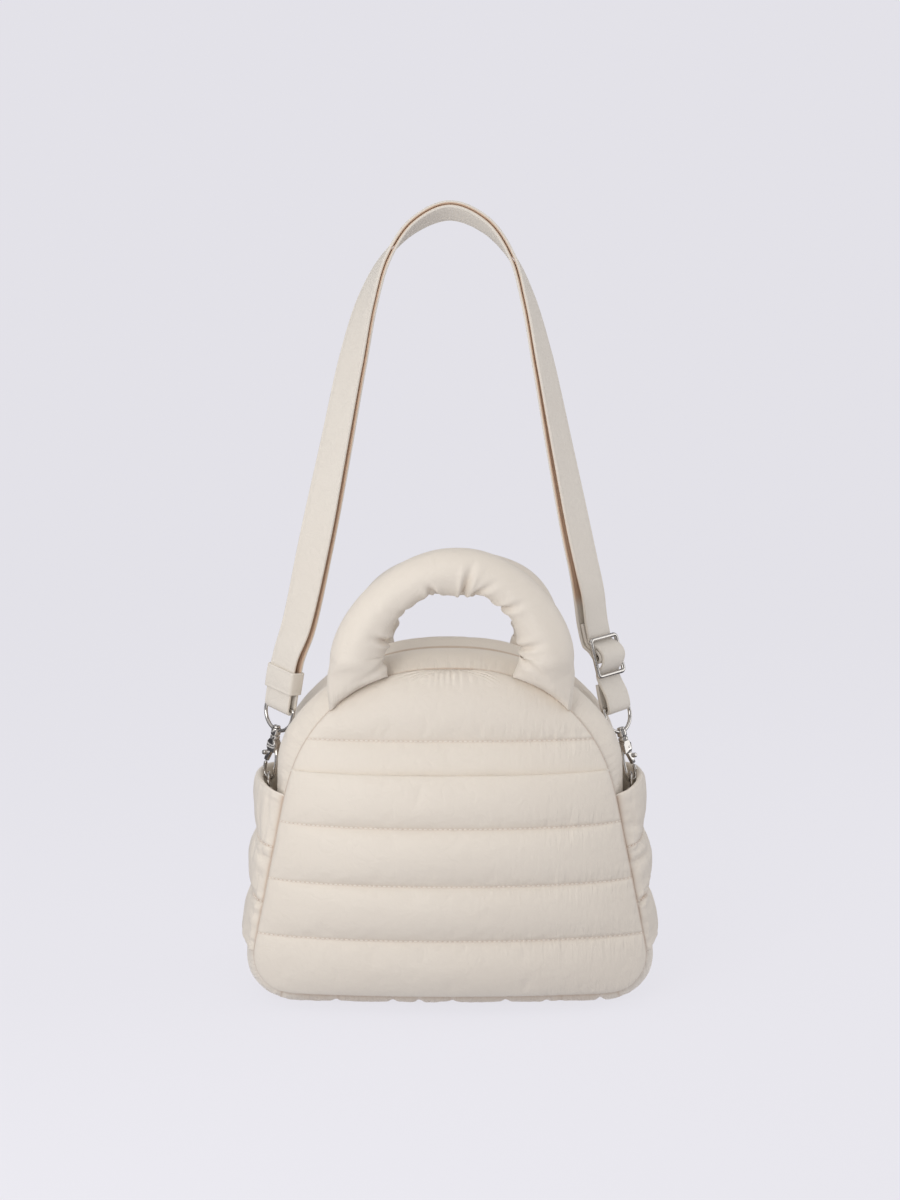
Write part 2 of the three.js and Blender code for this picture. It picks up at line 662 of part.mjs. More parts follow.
// The strap's route through its hooks and slider, from the end sewn round the slider's bar
function strapRoute() {
  const bar = SPINE_LENGTH - SLIDER.fromEye;
  const step = STRAP.thick + GAP;
  const overBar = SLIDER.wire + GAP + STRAP.thick / 2;
  const eyeTurn = EYE.wire + 1.5 * GAP + STRAP.thick / 2;
  const plies = [];
  let d = KEEPER.to + 17;
  while (d < bar - 60) {
    plies.push(d);
    const nearTop = Math.abs(strapFrame(d).middle.x) < 58;
    d += nearTop ? 12.5 : 31;
  }
  const top = SLIDER.above;
  const underUpper = top - overBar - 0.2;
  const sewnAtSlider = [
    { d: bar - FLAP.upper, h: underUpper - step - 0.4 },
    { d: bar - SLIDER.half, h: underUpper - step - 0.4 },
    { d: bar - 9.4, h: top - 5.4 },
    { d: bar - 5.8, h: top - 0.8 },
    { d: bar - 3, h: top + overBar - 1 },
    { d: bar, h: top + overBar },
    ...roundBar(bar, top, overBar, 1, 1),
    { d: bar, h: top - overBar },
    { d: bar - 5.8, h: top - 5.6 },
    { d: bar - 9.4, h: top - 8.9 },
    { d: bar - SLIDER.half, h: underUpper - 2 * step - 0.9 },
    { d: bar - FLAP.upper, h: underUpper - 2 * step - 0.8 },
    { d: bar - 45, h: -plyHeight(bar - 45) - 1.4 },
  ];
  const innerPly = plies.toReversed().map((d) => ({ d, h: -plyHeight(d) }));
  const inKeeper = [KEEPER.from, (KEEPER.from + KEEPER.to) / 2, KEEPER.to];
  const leftTurn = [
    ...inKeeper.toReversed().map((d) => ({ d, h: -eyeTurn })),
    { d: 5, h: -eyeTurn },
    ...roundBar(0, 0, eyeTurn, -1, -1),
    { d: 5, h: eyeTurn },
    ...inKeeper.map((d) => ({ d, h: eyeTurn })),
  ];
  const outerPly = plies.map((d) => ({ d, h: plyHeight(d) }));
  const throughSlider = [
    { d: bar - 45, h: plyHeight(bar - 45) },
    { d: bar - FLAP.upper, h: underUpper + 0.6 },
    { d: bar - SLIDER.half - 3, h: underUpper },
    { d: bar - SLIDER.half + 2, h: underUpper },
    { d: bar - 5.5, h: top + step + 0.8 },
    { d: bar, h: top + overBar + step },
    { d: bar + 5.5, h: top + step + 0.4 },
    { d: bar + SLIDER.half - 2, h: underUpper },
    { d: bar + SLIDER.half + 3, h: underUpper },
  ];
  const rightTurn = [
    { d: SPINE_LENGTH - 8, h: eyeTurn },
    ...roundBar(SPINE_LENGTH, 0, eyeTurn, 1, 1),
    { d: SPINE_LENGTH - 8, h: -eyeTurn },
    { d: SPINE_LENGTH - FLAP.lower, h: -eyeTurn + 0.6 },
  ];
  return [...sewnAtSlider, ...innerPly, ...leftTurn, ...outerPly, ...throughSlider, ...rightTurn];
}

function strapGeometry() {
  const route = strapRoute();
  const rings = route.map(({ d, h }, k) => {
    const before = route[Math.max(0, k - 1)];
    const after = route[Math.min(route.length - 1, k + 1)];
    const length = Math.hypot(after.d - before.d, after.h - before.h);
    const across = { d: -(after.h - before.h) / length, h: (after.d - before.d) / length };
    const skin = (side, edge) =>
      strapPoint(
        d + (side * across.d * STRAP.thick) / 2,
        h + (side * across.h * STRAP.thick) / 2,
        (edge * STRAP.wide) / 2,
      );
    return [skin(1, -1), skin(1, 1), skin(-1, 1), skin(-1, -1)];
  });
  return sweptGeometry(rings);
}

// A sleeve round both plies near the left hook
function keeperGeometry() {
  const middle = (KEEPER.from + KEEPER.to) / 2;
  const inside = {
    height: EYE.wire + 2.5 * GAP + STRAP.thick,
    across: STRAP.wide / 2 + GAP,
  };
  const corners = [
    [1, 1],
    [-1, 1],
    [-1, -1],
    [1, -1],
  ];
  const rings = corners.map(([side, edge]) => {
    const corner = (d, grow) =>
      strapPoint(d, side * (inside.height + grow), edge * (inside.across + grow));
    return [
      corner(KEEPER.from, 0),
      corner(KEEPER.from, KEEPER.thick),
      corner(middle, KEEPER.thick),
      corner(KEEPER.to, KEEPER.thick),
      corner(KEEPER.to, 0),
      corner(middle, 0),
    ];
  });
  return sweptGeometry(rings, true);
}

// A ring of wire corners round a point, in the plane of two directions
function wireRing(middle, first, second, radius, sides) {
  return Array.from({ length: sides }, (_, k) => {
    const angle = (2 * Math.PI * (k + 0.5)) / sides;
    return middle
      .clone()
      .addScaledVector(first, radius * Math.cos(angle))
      .addScaledVector(second, radius * Math.sin(angle));
  });
}

// Wire along points in the XZ plane
function wireGeometry(points, radius, sides, closed) {
  const last = points.length - 1;
  const flat = new THREE.Vector3(0, 1, 0);
  const rings = points.map((p, k) => {
    const before = points[closed ? (k + last) % points.length : Math.max(0, k - 1)];
    const after = points[closed ? (k + 1) % points.length : Math.min(last, k + 1)];
    const along = new THREE.Vector2().subVectors(after, before).normalize();
    const side = new THREE.Vector3(-along.y, 0, along.x);
    return wireRing(new THREE.Vector3(p.x, 0, p.y), side, flat, radius, sides);
  });
  return sweptGeometry(rings, closed);
}

// The slider's frame and middle bar, in its own plane: X across the strap, Z along it
function sliderGeometry() {
  const half = STRAP.wide / 2 + SLIDER.wire + 2 * GAP;
  const frame = [
    [half, -SLIDER.half],
    [half, SLIDER.half],
    [-half, SLIDER.half],
    [-half, -SLIDER.half],
  ].map(([x, z]) => new THREE.Vector2(x, z));
  const rounded = frame.flatMap((corner, k) => {
    const before = frame[(k + 3) % 4];
    const after = frame[(k + 1) % 4];
    const toward = (other) => corner.clone().lerp(other, SLIDER.corner / corner.distanceTo(other));
    return [toward(before), corner.clone().lerp(toward(before).lerp(toward(after), 0.5), 0.6), toward(after)];
  });
  const bar = [new THREE.Vector2(-half, 0), new THREE.Vector2(half, 0)];
  return geometryOf(
    joined([wireGeometry(rounded, SLIDER.wire, 6, true), wireGeometry(bar, SLIDER.wire * 0.9, 6, false)]),
  );
}

// Turns a group so that its Z is up along the strap and its X is across it
function alignToStrap(group, distance, height, upward) {
  const frame = strapFrame(distance);
  const up = frame.along.clone().multiplyScalar(upward);
  const third = new THREE.Vector3().crossVectors(up, frame.across);
  group.matrix.makeBasis(frame.across, third, up);
  group.quaternion.setFromRotationMatrix(group.matrix);
  group.position.copy(frame.middle).addScaledVector(frame.face, height);
}

const carrier = new THREE.Group();
alignToStrap(carrier, SPINE_LENGTH - SLIDER.fromEye, SLIDER.above, -1);
addPiece(carrier, "strap_slider", sliderGeometry(), nickel);
addPiece(bag, "strap", strapGeometry(), webbing);
addPiece(bag, "strap_keeper", keeperGeometry(), webbing);
bag.add(carrier);

// Snap hooks: an eye for the strap, a swivelling hook and its sprung lever.
// In a hook's own frame the eye's bar is at the origin and the claw hangs down -Z.
const BOSS = { radius: 3.4, hole: 1.9, top: -16.5, low: -21.5 };
const STEM = { radius: 1.5, head: 2.7, headTop: -14.6 };
const SHANK = { radius: 2.6, low: -25.8, collar: 2.6, neck: 0.6 };
const CHEEK = { near: 1.7, far: 2.9, top: -24.5, topHalf: 2.4, low: -33.5, half: 4.3, cut: 2.5 };
const CROWN_LOW = -26;
const WEB_NEAR = 2.2;
const PIVOT = { x: -1.2, z: -29.5, pin: 0.9, hole: 1.25 };
const LEVER = { length: 12.6, tip: 1.5, head: 2.6, half: 1.3, lean: 17.5 };
const KNOB = { x: -6.5, z: -36.4, radius: 1.7, half: 3 };
const CLAW = { wire: 1.35, sides: 6 };
// Middle line of the claw, from the shank round to its tip
const CLAW_LINE = [
  { x: 2.9, z: -30.5 },
  { x: 5, z: -36 },
  { x: 5.5, z: -43 },
  { x: 5, z: -49.5 },
  { x: 3, z: -52.6 },
  { x: 0, z: -53.2 },
  { x: -3, z: -52.6 },
  { x: -5, z: -49.5 },
  { x: -5.3, z: -42.6 },
];
const ROUND = 10; // sides of small turned metal

// A turned piece from a profile of [radius, height] pairs that starts and ends on the axis
function turned(profile, sides = ROUND) {
  const points = profile.map(([radius, height]) => new THREE.Vector2(radius, height));
  return new THREE.LatheGeometry(points, sides).rotateX(Math.PI / 2);
}

const rod = (radius, low, high) =>
  turned([
    [0, low],
    [radius, low],
    [radius, high],
    [0, high],
  ]);

// A rod across the hook, along its Y
const crossRod = (radius, half, x, z) => rod(radius, -half, half).rotateX(Math.PI / 2).translate(x, 0, z);

// A flat plate from an outline in X and Z, between two places in Y
function plate(outlinePoints, from, to) {
  const shape = new THREE.Shape(outlinePoints.map(([x, z]) => new THREE.Vector2(x, z)));
  const geometry = new THREE.ExtrudeGeometry(shape, { depth: to - from, bevelEnabled: false });
  return geometry.rotateX(Math.PI / 2).translate(0, to, 0);
}

function eyeGeometry() {
  const path = new THREE.Path();
  path.moveTo(-EYE.half, -EYE.shoulder);
  path.absellipse(0, -EYE.shoulder, EYE.half, EYE.drop - EYE.shoulder, Math.PI, 2 * Math.PI, false);
  path.lineTo(EYE.half, -EYE.corner);
  path.lineTo(EYE.half - EYE.corner, 0);
  path.lineTo(EYE.corner - EYE.half, 0);
  path.lineTo(-EYE.half, -EYE.corner);
  const points = path.getPoints(9).slice(0, -1);
  const distinct = points.filter((p, k) => k === 0 || p.distanceTo(points[k - 1]) > 0.2);
  const loop = solidOf(wireGeometry(distinct, EYE.wire, 6, true));
  const boss = solidOf(rod(BOSS.radius, BOSS.low, BOSS.top));
  const hole = solidOf(rod(BOSS.hole, BOSS.low - 3, BOSS.top + 3));
  return geometryOf(loop.add(boss).subtract(hole));
}

function hookGeometry() {
  const collarTop = BOSS.low - GAP;
  const collarLow = collarTop - SHANK.collar;
  const stem = turned([
    [0, SHANK.low],
    [SHANK.radius, SHANK.low],
    [SHANK.radius, collarLow - SHANK.neck],
    [BOSS.radius, collarLow],
    [BOSS.radius, collarTop],
    [STEM.radius, collarTop],
    [STEM.radius, BOSS.top + GAP],
    [STEM.head, BOSS.top + GAP],
    [STEM.head, STEM.headTop],
    [0, STEM.headTop],
  ]);
  const shoulder = CHEEK.top - CHEEK.cut;
  const cheek = [
    [-CHEEK.half, shoulder],
    [-CHEEK.topHalf, CHEEK.top],
    [CHEEK.topHalf, CHEEK.top],
    [CHEEK.half, shoulder],
    [CHEEK.half, CHEEK.low],
    [-CHEEK.topHalf, CHEEK.low],
    [-CHEEK.half, CHEEK.low + CHEEK.cut],
  ];
  const web = [
    [WEB_NEAR, CHEEK.top],
    [CHEEK.half, shoulder],
    [CHEEK.half, CHEEK.low],
    [WEB_NEAR, CHEEK.low],
  ];
  const crown = [
    [-CHEEK.topHalf, CROWN_LOW],
    [-CHEEK.topHalf, CHEEK.top],
    [CHEEK.topHalf, CHEEK.top],
    [CHEEK.topHalf, CROWN_LOW],
  ];
  const line = new THREE.SplineCurve(CLAW_LINE.map((p) => new THREE.Vector2(p.x, p.z)));
  const claw = wireGeometry(line.getSpacedPoints(16), CLAW.wire, CLAW.sides, false);
  return geometryOf(
    joined([
      stem,
      plate(cheek, -CHEEK.far, -CHEEK.near),
      plate(cheek, CHEEK.near, CHEEK.far),
      plate(web, -CHEEK.far, CHEEK.far),
      plate(crown, -CHEEK.far, CHEEK.far),
      crossRod(PIVOT.pin, CHEEK.far - 0.2, PIVOT.x, PIVOT.z),
      claw,
    ]),
  );
}

// The lever hangs from its pivot, with its end an arc about the pivot, and leans to the claw's tip
function leverGeometry() {
  const shape = new THREE.Shape();
  const tipAngle = Math.asin(LEVER.tip / LEVER.length);
  const down = -Math.PI / 2;
  shape.absarc(0, 0, LEVER.head, 0, Math.PI, false);
  shape.absarc(0, 0, LEVER.length, down - tipAngle, down + tipAngle, false);
  const arm = new THREE.ExtrudeGeometry(shape, {
    depth: 2 * LEVER.half,
    bevelEnabled: false,
    curveSegments: 6,
  });
  arm.rotateX(Math.PI / 2).translate(0, LEVER.half, 0);
  arm.rotateY(THREE.MathUtils.degToRad(LEVER.lean)).translate(PIVOT.x, 0, PIVOT.z);
  const knob = crossRod(KNOB.radius, KNOB.half, KNOB.x, KNOB.z);
  const hole = solidOf(crossRod(PIVOT.hole, 4, PIVOT.x, PIVOT.z));
  return geometryOf(joined([arm, knob]).subtract(hole));
}

for (const side of SIDES) {
  const hook = new THREE.Group();
  alignToStrap(hook, side.sign < 0 ? 0 : SPINE_LENGTH, 0, -side.sign);
  hook.rotateZ(Math.PI);
  addPiece(hook, `hook_eye_${side.name}`, eyeGeometry(), nickel);
  addPiece(hook, `hook_${side.name}`, hookGeometry(), nickel);
  addPiece(hook, `hook_lever_${side.name}`, leverGeometry(), nickel);
  bag.add(hook);
}

// D-rings on fabric tabs at the ends of the zip, upright and in line with the side of the bag
function ringGeometry() {
  const { radius, cornerWide, cornerHigh } = RING;
  const path = new THREE.Path();
  path.moveTo(cornerWide - radius, -radius);
  path.lineTo(radius - cornerWide, -radius);
  path.lineTo(radius - GAP, cornerHigh - radius);
  path.absellipse(0, -1, radius, radius + 1, 0, Math.PI, false);
  path.lineTo(GAP - radius, cornerHigh - radius);
  return wireGeometry(path.getPoints(7), RING.wire, 6, true).rotateZ(Math.PI / 2);
}

// A tab folded over the bottom of its ring, with both legs sewn down on the gusset
function tabGeometry() {
  const turn = RING.wire + GAP + TAB.thick / 2;
  const bottom = -RING.radius;
  const line = [new THREE.Vector2(-turn, TAB.lowZ - RING.z)];
  for (let k = 0; k <= 6; k++) {
    const angle = Math.PI - (k * Math.PI) / 6;
    line.push(new THREE.Vector2(turn * Math.cos(angle), bottom + turn * Math.sin(angle)));
  }
  line.push(new THREE.Vector2(turn, TAB.lowZ - RING.z));
  const rings = line.map((p, k) => {
    const before = line[Math.max(0, k - 1)];
    const after = line[Math.min(line.length - 1, k + 1)];
    const along = new THREE.Vector2().subVectors(after, before).normalize();
    const corner = (side, edge) =>
      new THREE.Vector3(
        p.x - (side * along.y * TAB.thick) / 2,
        (edge * TAB.wide) / 2,
        p.y + (side * along.x * TAB.thick) / 2,
      );
    return [corner(1, -1), corner(1, 1), corner(-1, 1), corner(-1, -1)];
  });
  return sweptGeometry(rings);
}

for (const side of SIDES) {
  const holder = new THREE.Group();
  holder.position.set(side.sign * RING.x, 0, RING.z);
  addPiece(holder, `ring_${side.name}`, ringGeometry(), nickel);
  addPiece(holder, `ring_tab_${side.name}`, tabGeometry(), webbing);
  bag.add(holder);
}

export default bag;
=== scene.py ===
import math

import bmesh
import bpy
import numpy as np
from mathutils import Matrix, Vector, noise


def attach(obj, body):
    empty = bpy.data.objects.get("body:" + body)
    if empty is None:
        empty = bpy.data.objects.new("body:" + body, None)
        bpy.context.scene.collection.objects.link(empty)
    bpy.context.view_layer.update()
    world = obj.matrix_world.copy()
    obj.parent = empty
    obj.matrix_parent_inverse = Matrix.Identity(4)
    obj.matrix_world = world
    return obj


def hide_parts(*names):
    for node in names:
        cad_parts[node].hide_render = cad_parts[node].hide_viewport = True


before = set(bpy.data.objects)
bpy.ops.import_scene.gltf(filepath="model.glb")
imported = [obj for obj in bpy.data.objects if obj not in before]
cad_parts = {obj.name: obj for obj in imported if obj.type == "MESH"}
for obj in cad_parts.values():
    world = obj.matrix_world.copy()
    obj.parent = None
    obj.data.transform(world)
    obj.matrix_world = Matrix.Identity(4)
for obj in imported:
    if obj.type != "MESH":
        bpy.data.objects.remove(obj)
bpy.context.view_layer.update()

# Sizes of the body in millimetres, as in the part
MM = 0.001
SEAM_Z = 10.0  # height of the panels' lower seam
APEX_Z = 232.0  # top of the panels' dome
WAIST_Z = 143.0  # where the straight sides meet the dome
WAIST_HALF = 111.0
TAPER = 0.205  # by which a side leans in for each millimetre of height
CORNER = 26.0  # radius of a panel's lower corners
DOME_POWER = 2.4
SIDE_DEPTH = 48.0  # from the middle of the bag to a panel seam at its sides
BASE_BOW = 12.0  # by which a seam bows out further in the middle of the base
BOW_FADE = 0.8  # share of that bow which is gone at the top
GAP = 0.4  # between neighbouring pieces
EDGE = 2.0  # thickness of a sewn edge
PAD = 2.0  # padding on the inner side of a panel

MOUTH_Z = 163.0  # of the front slip pocket
POCKET_SEAMS = [SEAM_Z, 52.0, 90.5, 129.5, MOUTH_Z]
UPPER_SEAM = 185.0
TOP_SEAM = APEX_Z - 0.6
BACK_SEAMS = [*POCKET_SEAMS[:4], 157.0, UPPER_SEAM, 223.0, TOP_SEAM]
SIDE_SEAMS = [37.0, 72.0, 110.0, 147.0]
BASE_SEAM_PITCH = 38.0
BASE_SEAM_RISE = 0.4  # share of the base's bulge that is left at a cross seam
PUFF = {"pocket": 7.0, "above_mouth": 5.5, "upper": 7.0, "back": 7.0, "side": 4.0, "top_band": 2.0}
POCKET_GAPE = 8.5  # by which the slip pocket's mouth stands off the panel
OPEN_EDGE = 0.9  # share of the puff's arc below a pocket's open mouth
# How far the panels belly out, the sides bulge and the side pockets stand off, at some heights
BELLY_Z = [SEAM_Z, 33, 63, 98, 129, 163, 185, 208, APEX_Z]
BELLY_OUT = [1, 9, 15, 18, 17, 13, 9, 5, 0.5]
BACK_BELLY_EXTRA = 1.395
BULGE_Z = [SEAM_Z, 22, 34, 50, 95, 121, WAIST_Z, 180, APEX_Z]
BULGE_OUT = [16, 13.5, 9.3, 6.3, 9.5, 8.5, 8.5, 12.5, 7.5]
SIDE_STAND_Z = [37, 72, 110, 128, 147]
SIDE_STAND_OUT = [0.2, 1, 4.5, 6.5, 11]
ZIP_HALF = 4.0
SPACING = 2.3  # between the rows of cloth that the padding pushes on
BACK_SPACING = 2.6
SKIN = 0.2  # share of a slab's depth that counts as its outer skin


def smooth(value, low, high):
    share = np.clip((value - low) / (high - low), 0, 1)
    return share * share * (3 - 2 * share)


# Share that is full at a line and dies out away from it
def fade(away, reach):
    return np.exp(-((away / reach) ** 2))


def unit(vectors):
    return vectors / np.linalg.norm(vectors, axis=-1, keepdims=True)


# Distances along a line of points, from its first one
def run_along(points):
    return np.concatenate([[0], np.cumsum(np.linalg.norm(np.diff(points, axis=0), axis=1))])


# Points of a line at some distances along it
def points_on(line, run, places):
    return np.column_stack([np.interp(places, run, column) for column in np.transpose(line)])


# Arc of an ellipse as pairs, between two angles
def arc(middle, radii, first, last, steps):
    angles = np.linspace(first, last, steps)
    return [(middle[0] + radii[0] * math.cos(a), middle[1] + radii[1] * math.sin(a)) for a in angles]


def taper_half(z):
    return WAIST_HALF + TAPER * (WAIST_Z - z)


SLANT = math.hypot(1, TAPER)
CORNER_Z = SEAM_Z + CORNER
CORNER_X = taper_half(CORNER_Z) - CORNER * SLANT


# Half width of a panel at a height
def half_width(z):
    z = np.asarray(z, float)
    climb = np.clip((z - WAIST_Z) / (APEX_Z - WAIST_Z), 0, 1)
    dome = taper_half(z) * (1 - climb**DOME_POWER) ** (1 / DOME_POWER)
    corner = CORNER_X + np.sqrt(np.maximum(0, CORNER**2 - (CORNER_Z - z) ** 2))
    straight = np.where(z >= CORNER_Z + CORNER * TAPER / SLANT, taper_half(z), corner)
    return np.where(z >= WAIST_Z, dome, straight)


# From the middle of the bag to a panel seam
def seam_depth(x, z):
    base = 1 - BOW_FADE * z / APEX_Z
    return SIDE_DEPTH + BASE_BOW * base * (1 - (x / taper_half(0)) ** 2)


# The right half of the outline, from the middle of the base to the top of the dome
def half_outline():
    turn = math.pi / 2 + math.atan(TAPER)
    base_x = np.linspace(0, CORNER_X, 80)[:-1]
    angles = np.linspace(-math.pi / 2, -math.pi / 2 + turn, 80)
    side_z = np.linspace(CORNER_Z + CORNER * math.sin(angles[-1]), WAIST_Z, 80)[1:]
    dome_z = WAIST_Z + (APEX_Z - WAIST_Z) * np.sin(np.linspace(0, math.pi / 2, 240))[1:]
    x = [base_x, CORNER_X + CORNER * np.cos(angles), taper_half(side_z), half_width(dome_z)]
    z = [np.full_like(base_x, SEAM_Z), CORNER_Z + CORNER * np.sin(angles), side_z, dome_z]
    return np.concatenate(x), np.concatenate(z)


OUTLINE_X, OUTLINE_Z = half_outline()
OUTLINE_RUN = run_along(np.column_stack([OUTLINE_X, OUTLINE_Z]))
OUTLINE_LENGTH = OUTLINE_RUN[-1]
SLOPE_X = np.gradient(OUTLINE_X, OUTLINE_RUN)
SLOPE_Z = np.gradient(OUTLINE_Z, OUTLINE_RUN)


# Place and outward direction at a distance along the outline, negative on the left side
def outline_at(distance):
    run = np.abs(distance)
    side = np.where(distance < 0, -1.0, 1.0)
    along_x = np.interp(run, OUTLINE_RUN, SLOPE_X)
    along_z = np.interp(run, OUTLINE_RUN, SLOPE_Z)
    length = np.hypot(along_x, along_z)
    x = side * np.interp(run, OUTLINE_RUN, OUTLINE_X)
    z = np.interp(run, OUTLINE_RUN, OUTLINE_Z)
    return x, z, side * along_z / length, -along_x / length


def distance_at_height(z):
    first = np.searchsorted(OUTLINE_Z, SEAM_Z + 1e-6)
    return np.interp(z, OUTLINE_Z[first:], OUTLINE_RUN[first:])


# Rise of a panel from its side seams to its middle, for u from -1 to 1
def dome_profile(u):
    return np.maximum(0, 1 - np.abs(u) ** 2.2) ** 0.6


# Rise of a strip from its edges to its middle, for t from 0 to 1
def strip_profile(t):
    return np.maximum(0, 4 * t * (1 - t)) ** 0.55


# Rise of a quilted channel between its two seams, for c from 0 to 1
def channel_profile(c):
    return np.maximum(0, 4 * c * (1 - c)) ** 0.6


# Channel of a quilted piece that a height lies in, and its place between the two seams
def channel_at(seams, z):
    channel = np.clip(np.searchsorted(seams, z, side="right") - 1, 0, len(seams) - 2)
    low = np.asarray(seams)[channel]
    high = np.asarray(seams)[channel + 1]
    return channel, np.clip((z - low) / (high - low), 0, 1)


# Heights of the rows of cloth between the seams of a quilted piece, closer together at each seam
def rows_between(seams, spacings, grade=0.5):
    heights = [seams[0]]
    seam_rows = [0]
    for low, high, spacing in zip(seams, seams[1:], spacings):
        share = np.linspace(0, 1, max(1, round((high - low) / spacing)) + 1)[1:]
        heights += list(low + (high - low) * (share - grade * np.sin(2 * math.pi * share) / (2 * math.pi)))
        seam_rows.append(len(heights) - 1)
    return np.array(heights), seam_rows


# Smooth irregular values from -1 to 1 over points, for soft goods that are never quite even
def unevenness(points, size, shift):
    return np.array([noise.noise(Vector(p) / size + Vector((shift, shift, shift))) for p in points])


# A mesh object at the origin, made from a bmesh
def finished(name, bm):
    bmesh.ops.recalc_face_normals(bm, faces=bm.faces)
    if bm.calc_volume(signed=True) < 0:
        bmesh.ops.reverse_faces(bm, faces=bm.faces)
    mesh = bpy.data.meshes.new(name)
    bm.to_mesh(mesh)
    bm.free()
    mesh.shade_smooth()
    piece = bpy.data.objects.new(name, mesh)
    bpy.context.scene.collection.objects.link(piece)
    return piece


# The weave's map: where each point lies on the flat cut cloth, in metres
def lay_flat(bm, flat):
    layer = bm.loops.layers.uv.new("weave")
    bm.verts.index_update()
    for face in bm.faces:
        for corner in face.loops:
            corner[layer].uv = flat[corner.vert.index] * MM


# A closed slab of cloth, by places across it, its rows, and depths from the outer skin to the lining
def padded_slab(name, columns, rows, shape, flat, rim_cuts=0):
    bm = bmesh.new()
    bmesh.ops.create_grid(bm, x_segments=columns, y_segments=rows, size=1.0)
    skin = bm.verts[:] + bm.edges[:] + bm.faces[:]
    lining = bmesh.ops.extrude_face_region(bm, geom=skin, use_keep_orig=True)
    moved = [part for part in lining["geom"] if isinstance(part, bmesh.types.BMVert)]
    bmesh.ops.translate(bm, verts=moved, vec=(0, 0, 1))
    if rim_cuts:
        rim = [e for e in bm.edges if abs(e.verts[0].co.z - e.verts[1].co.z) > 0.5]
        bmesh.ops.subdivide_edges(bm, edges=rim, cuts=rim_cuts, use_grid_fill=True)
    spot = np.array([v.co for v in bm.verts])
    across = spot[:, 0]
    row = np.rint((spot[:, 1] + 1) / 2 * rows).astype(int)
    depth = spot[:, 2]
    for vert, point in zip(bm.verts, shape(across, row, depth)):
        vert.co = point * MM
    lay_flat(bm, flat(across, row))
    return finished(name, bm), across, row, depth


# A skin through rings of points that all have the same number of corners
def swept(name, rings, flat, looped=False):
    rings = np.asarray(rings, float)
    sides = rings.shape[1]
    if looped:
        rings = np.concatenate([rings, rings[:1]])
    rows = len(rings) - 1
    bm = bmesh.new()
    bmesh.ops.create_grid(bm, x_segments=sides, y_segments=rows, size=1.0)
    spot = np.array([v.co for v in bm.verts])
    corner = np.rint((spot[:, 0] + 1) / 2 * sides).astype(int)
    row = np.rint((spot[:, 1] + 1) / 2 * rows).astype(int)
    for vert, point in zip(bm.verts, rings[row, corner % sides]):
        vert.co = point * MM
    lay_flat(bm, flat(corner, row))
    layers = {key: bm.verts.layers.int.new(key) for key in ("corner", "row")}
    for vert, c, r in zip(bm.verts, corner, row):
        vert[layers["corner"]] = int(c % sides)
        vert[layers["row"]] = int(r)
    bmesh.ops.remove_doubles(bm, verts=bm.verts, dist=1e-7)
    if not looped:
        bmesh.ops.holes_fill(bm, edges=bm.edges, sides=0)
    corners = np.array([v[layers["corner"]] for v in bm.verts])
    rows_of = np.array([v[layers["row"]] for v in bm.verts])
    return finished(name, bm), corners, rows_of


def mark(piece, name, values):
    attribute = piece.data.attributes.new(name, "FLOAT", "POINT")
    attribute.data.foreach_set("value", np.asarray(values, np.float32))


# Marks the outer skin of a slab with values from 0 to 1
def mark_skin(piece, name, values, depth):
    mark(piece, name, np.where(depth < SKIN, np.clip(values, 0, 1), 0))


def points_of(mesh):
    flat = np.zeros(len(mesh.vertices) * 3, np.float32)
    mesh.vertices.foreach_get("co", flat)
    return flat.reshape(-1, 3).astype(float)


def normals_of(mesh):
    flat = np.zeros(len(mesh.vertices) * 3, np.float32)
    mesh.vertex_normals.foreach_get("vector", flat)
    return flat.reshape(-1, 3).astype(float)


def set_points(piece, points):
    piece.data.vertices.foreach_set("co", points.astype(np.float32).ravel())
    piece.data.update()


# Pushes points out along the surface by some millimetres
def raise_by(piece, amount):
    set_points(piece, points_of(piece.data) + normals_of(piece.data) * (amount * MM)[:, None])


# Thin nylon over padding that pushes it out
PADDED_CLOTH = {
    "quality": 5,
    "mass": 0.2,
    "tension_stiffness": 12,
    "compression_stiffness": 12,
    "shear_stiffness": 5,
    "bending_stiffness": 0.5,
    "air_damping": 2,
    "pin_stiffness": 1,
    "use_pressure": True,
    "uniform_pressure_force": 4.0,
}


# Blows up the padding of a piece between its sewn lines: the cloth is cut a little large and pushed out
def puff_up(piece, sewn, slack=0.003, limit=4.0, frames=14):
    scene = bpy.context.scene
    start = points_of(piece.data)
    group = piece.vertex_groups.new(name="sewn")
    group.add([int(i) for i in np.flatnonzero(sewn)], 1.0, "REPLACE")
    modifier = piece.modifiers.new("padding", "CLOTH")
    cloth = modifier.settings
    for setting, value in PADDED_CLOTH.items():
        setattr(cloth, setting, value)
    cloth.vertex_group_mass = "sewn"
    cloth.shrink_min = -slack
    cloth.effector_weights.gravity = 0
    modifier.collision_settings.use_collision = False
    modifier.collision_settings.use_self_collision = False
    modifier.point_cache.frame_start = 1
    modifier.point_cache.frame_end = frames
    for step in range(1, frames + 1):
        scene.frame_set(step)
    blown = piece.evaluated_get(bpy.context.evaluated_depsgraph_get())
    moved = points_of(blown.data)
    piece.modifiers.remove(modifier)
    piece.vertex_groups.remove(group)
    scene.frame_set(1)
    shift = moved - start
    length = np.linalg.norm(shift, axis=1)
    cap = limit * MM
    held = cap * np.tanh(length / cap) / np.maximum(length, 1e-12)
    set_points(piece, start + shift * held[:, None])


# Puts a piece in place of its solid, with its finish
def place_piece(piece, node, finish, body="bag"):
    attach(piece, body)
    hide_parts(node)
    piece.data.materials.append(finish)


# Puts a padded piece in place of its solid, and rounds off its cloth
def place_padded(piece, node):
    place_piece(piece, node, nylon)
    soft = piece.modifiers.new("soft", "SUBSURF")
    soft.levels = 1
    soft.render_levels = 1


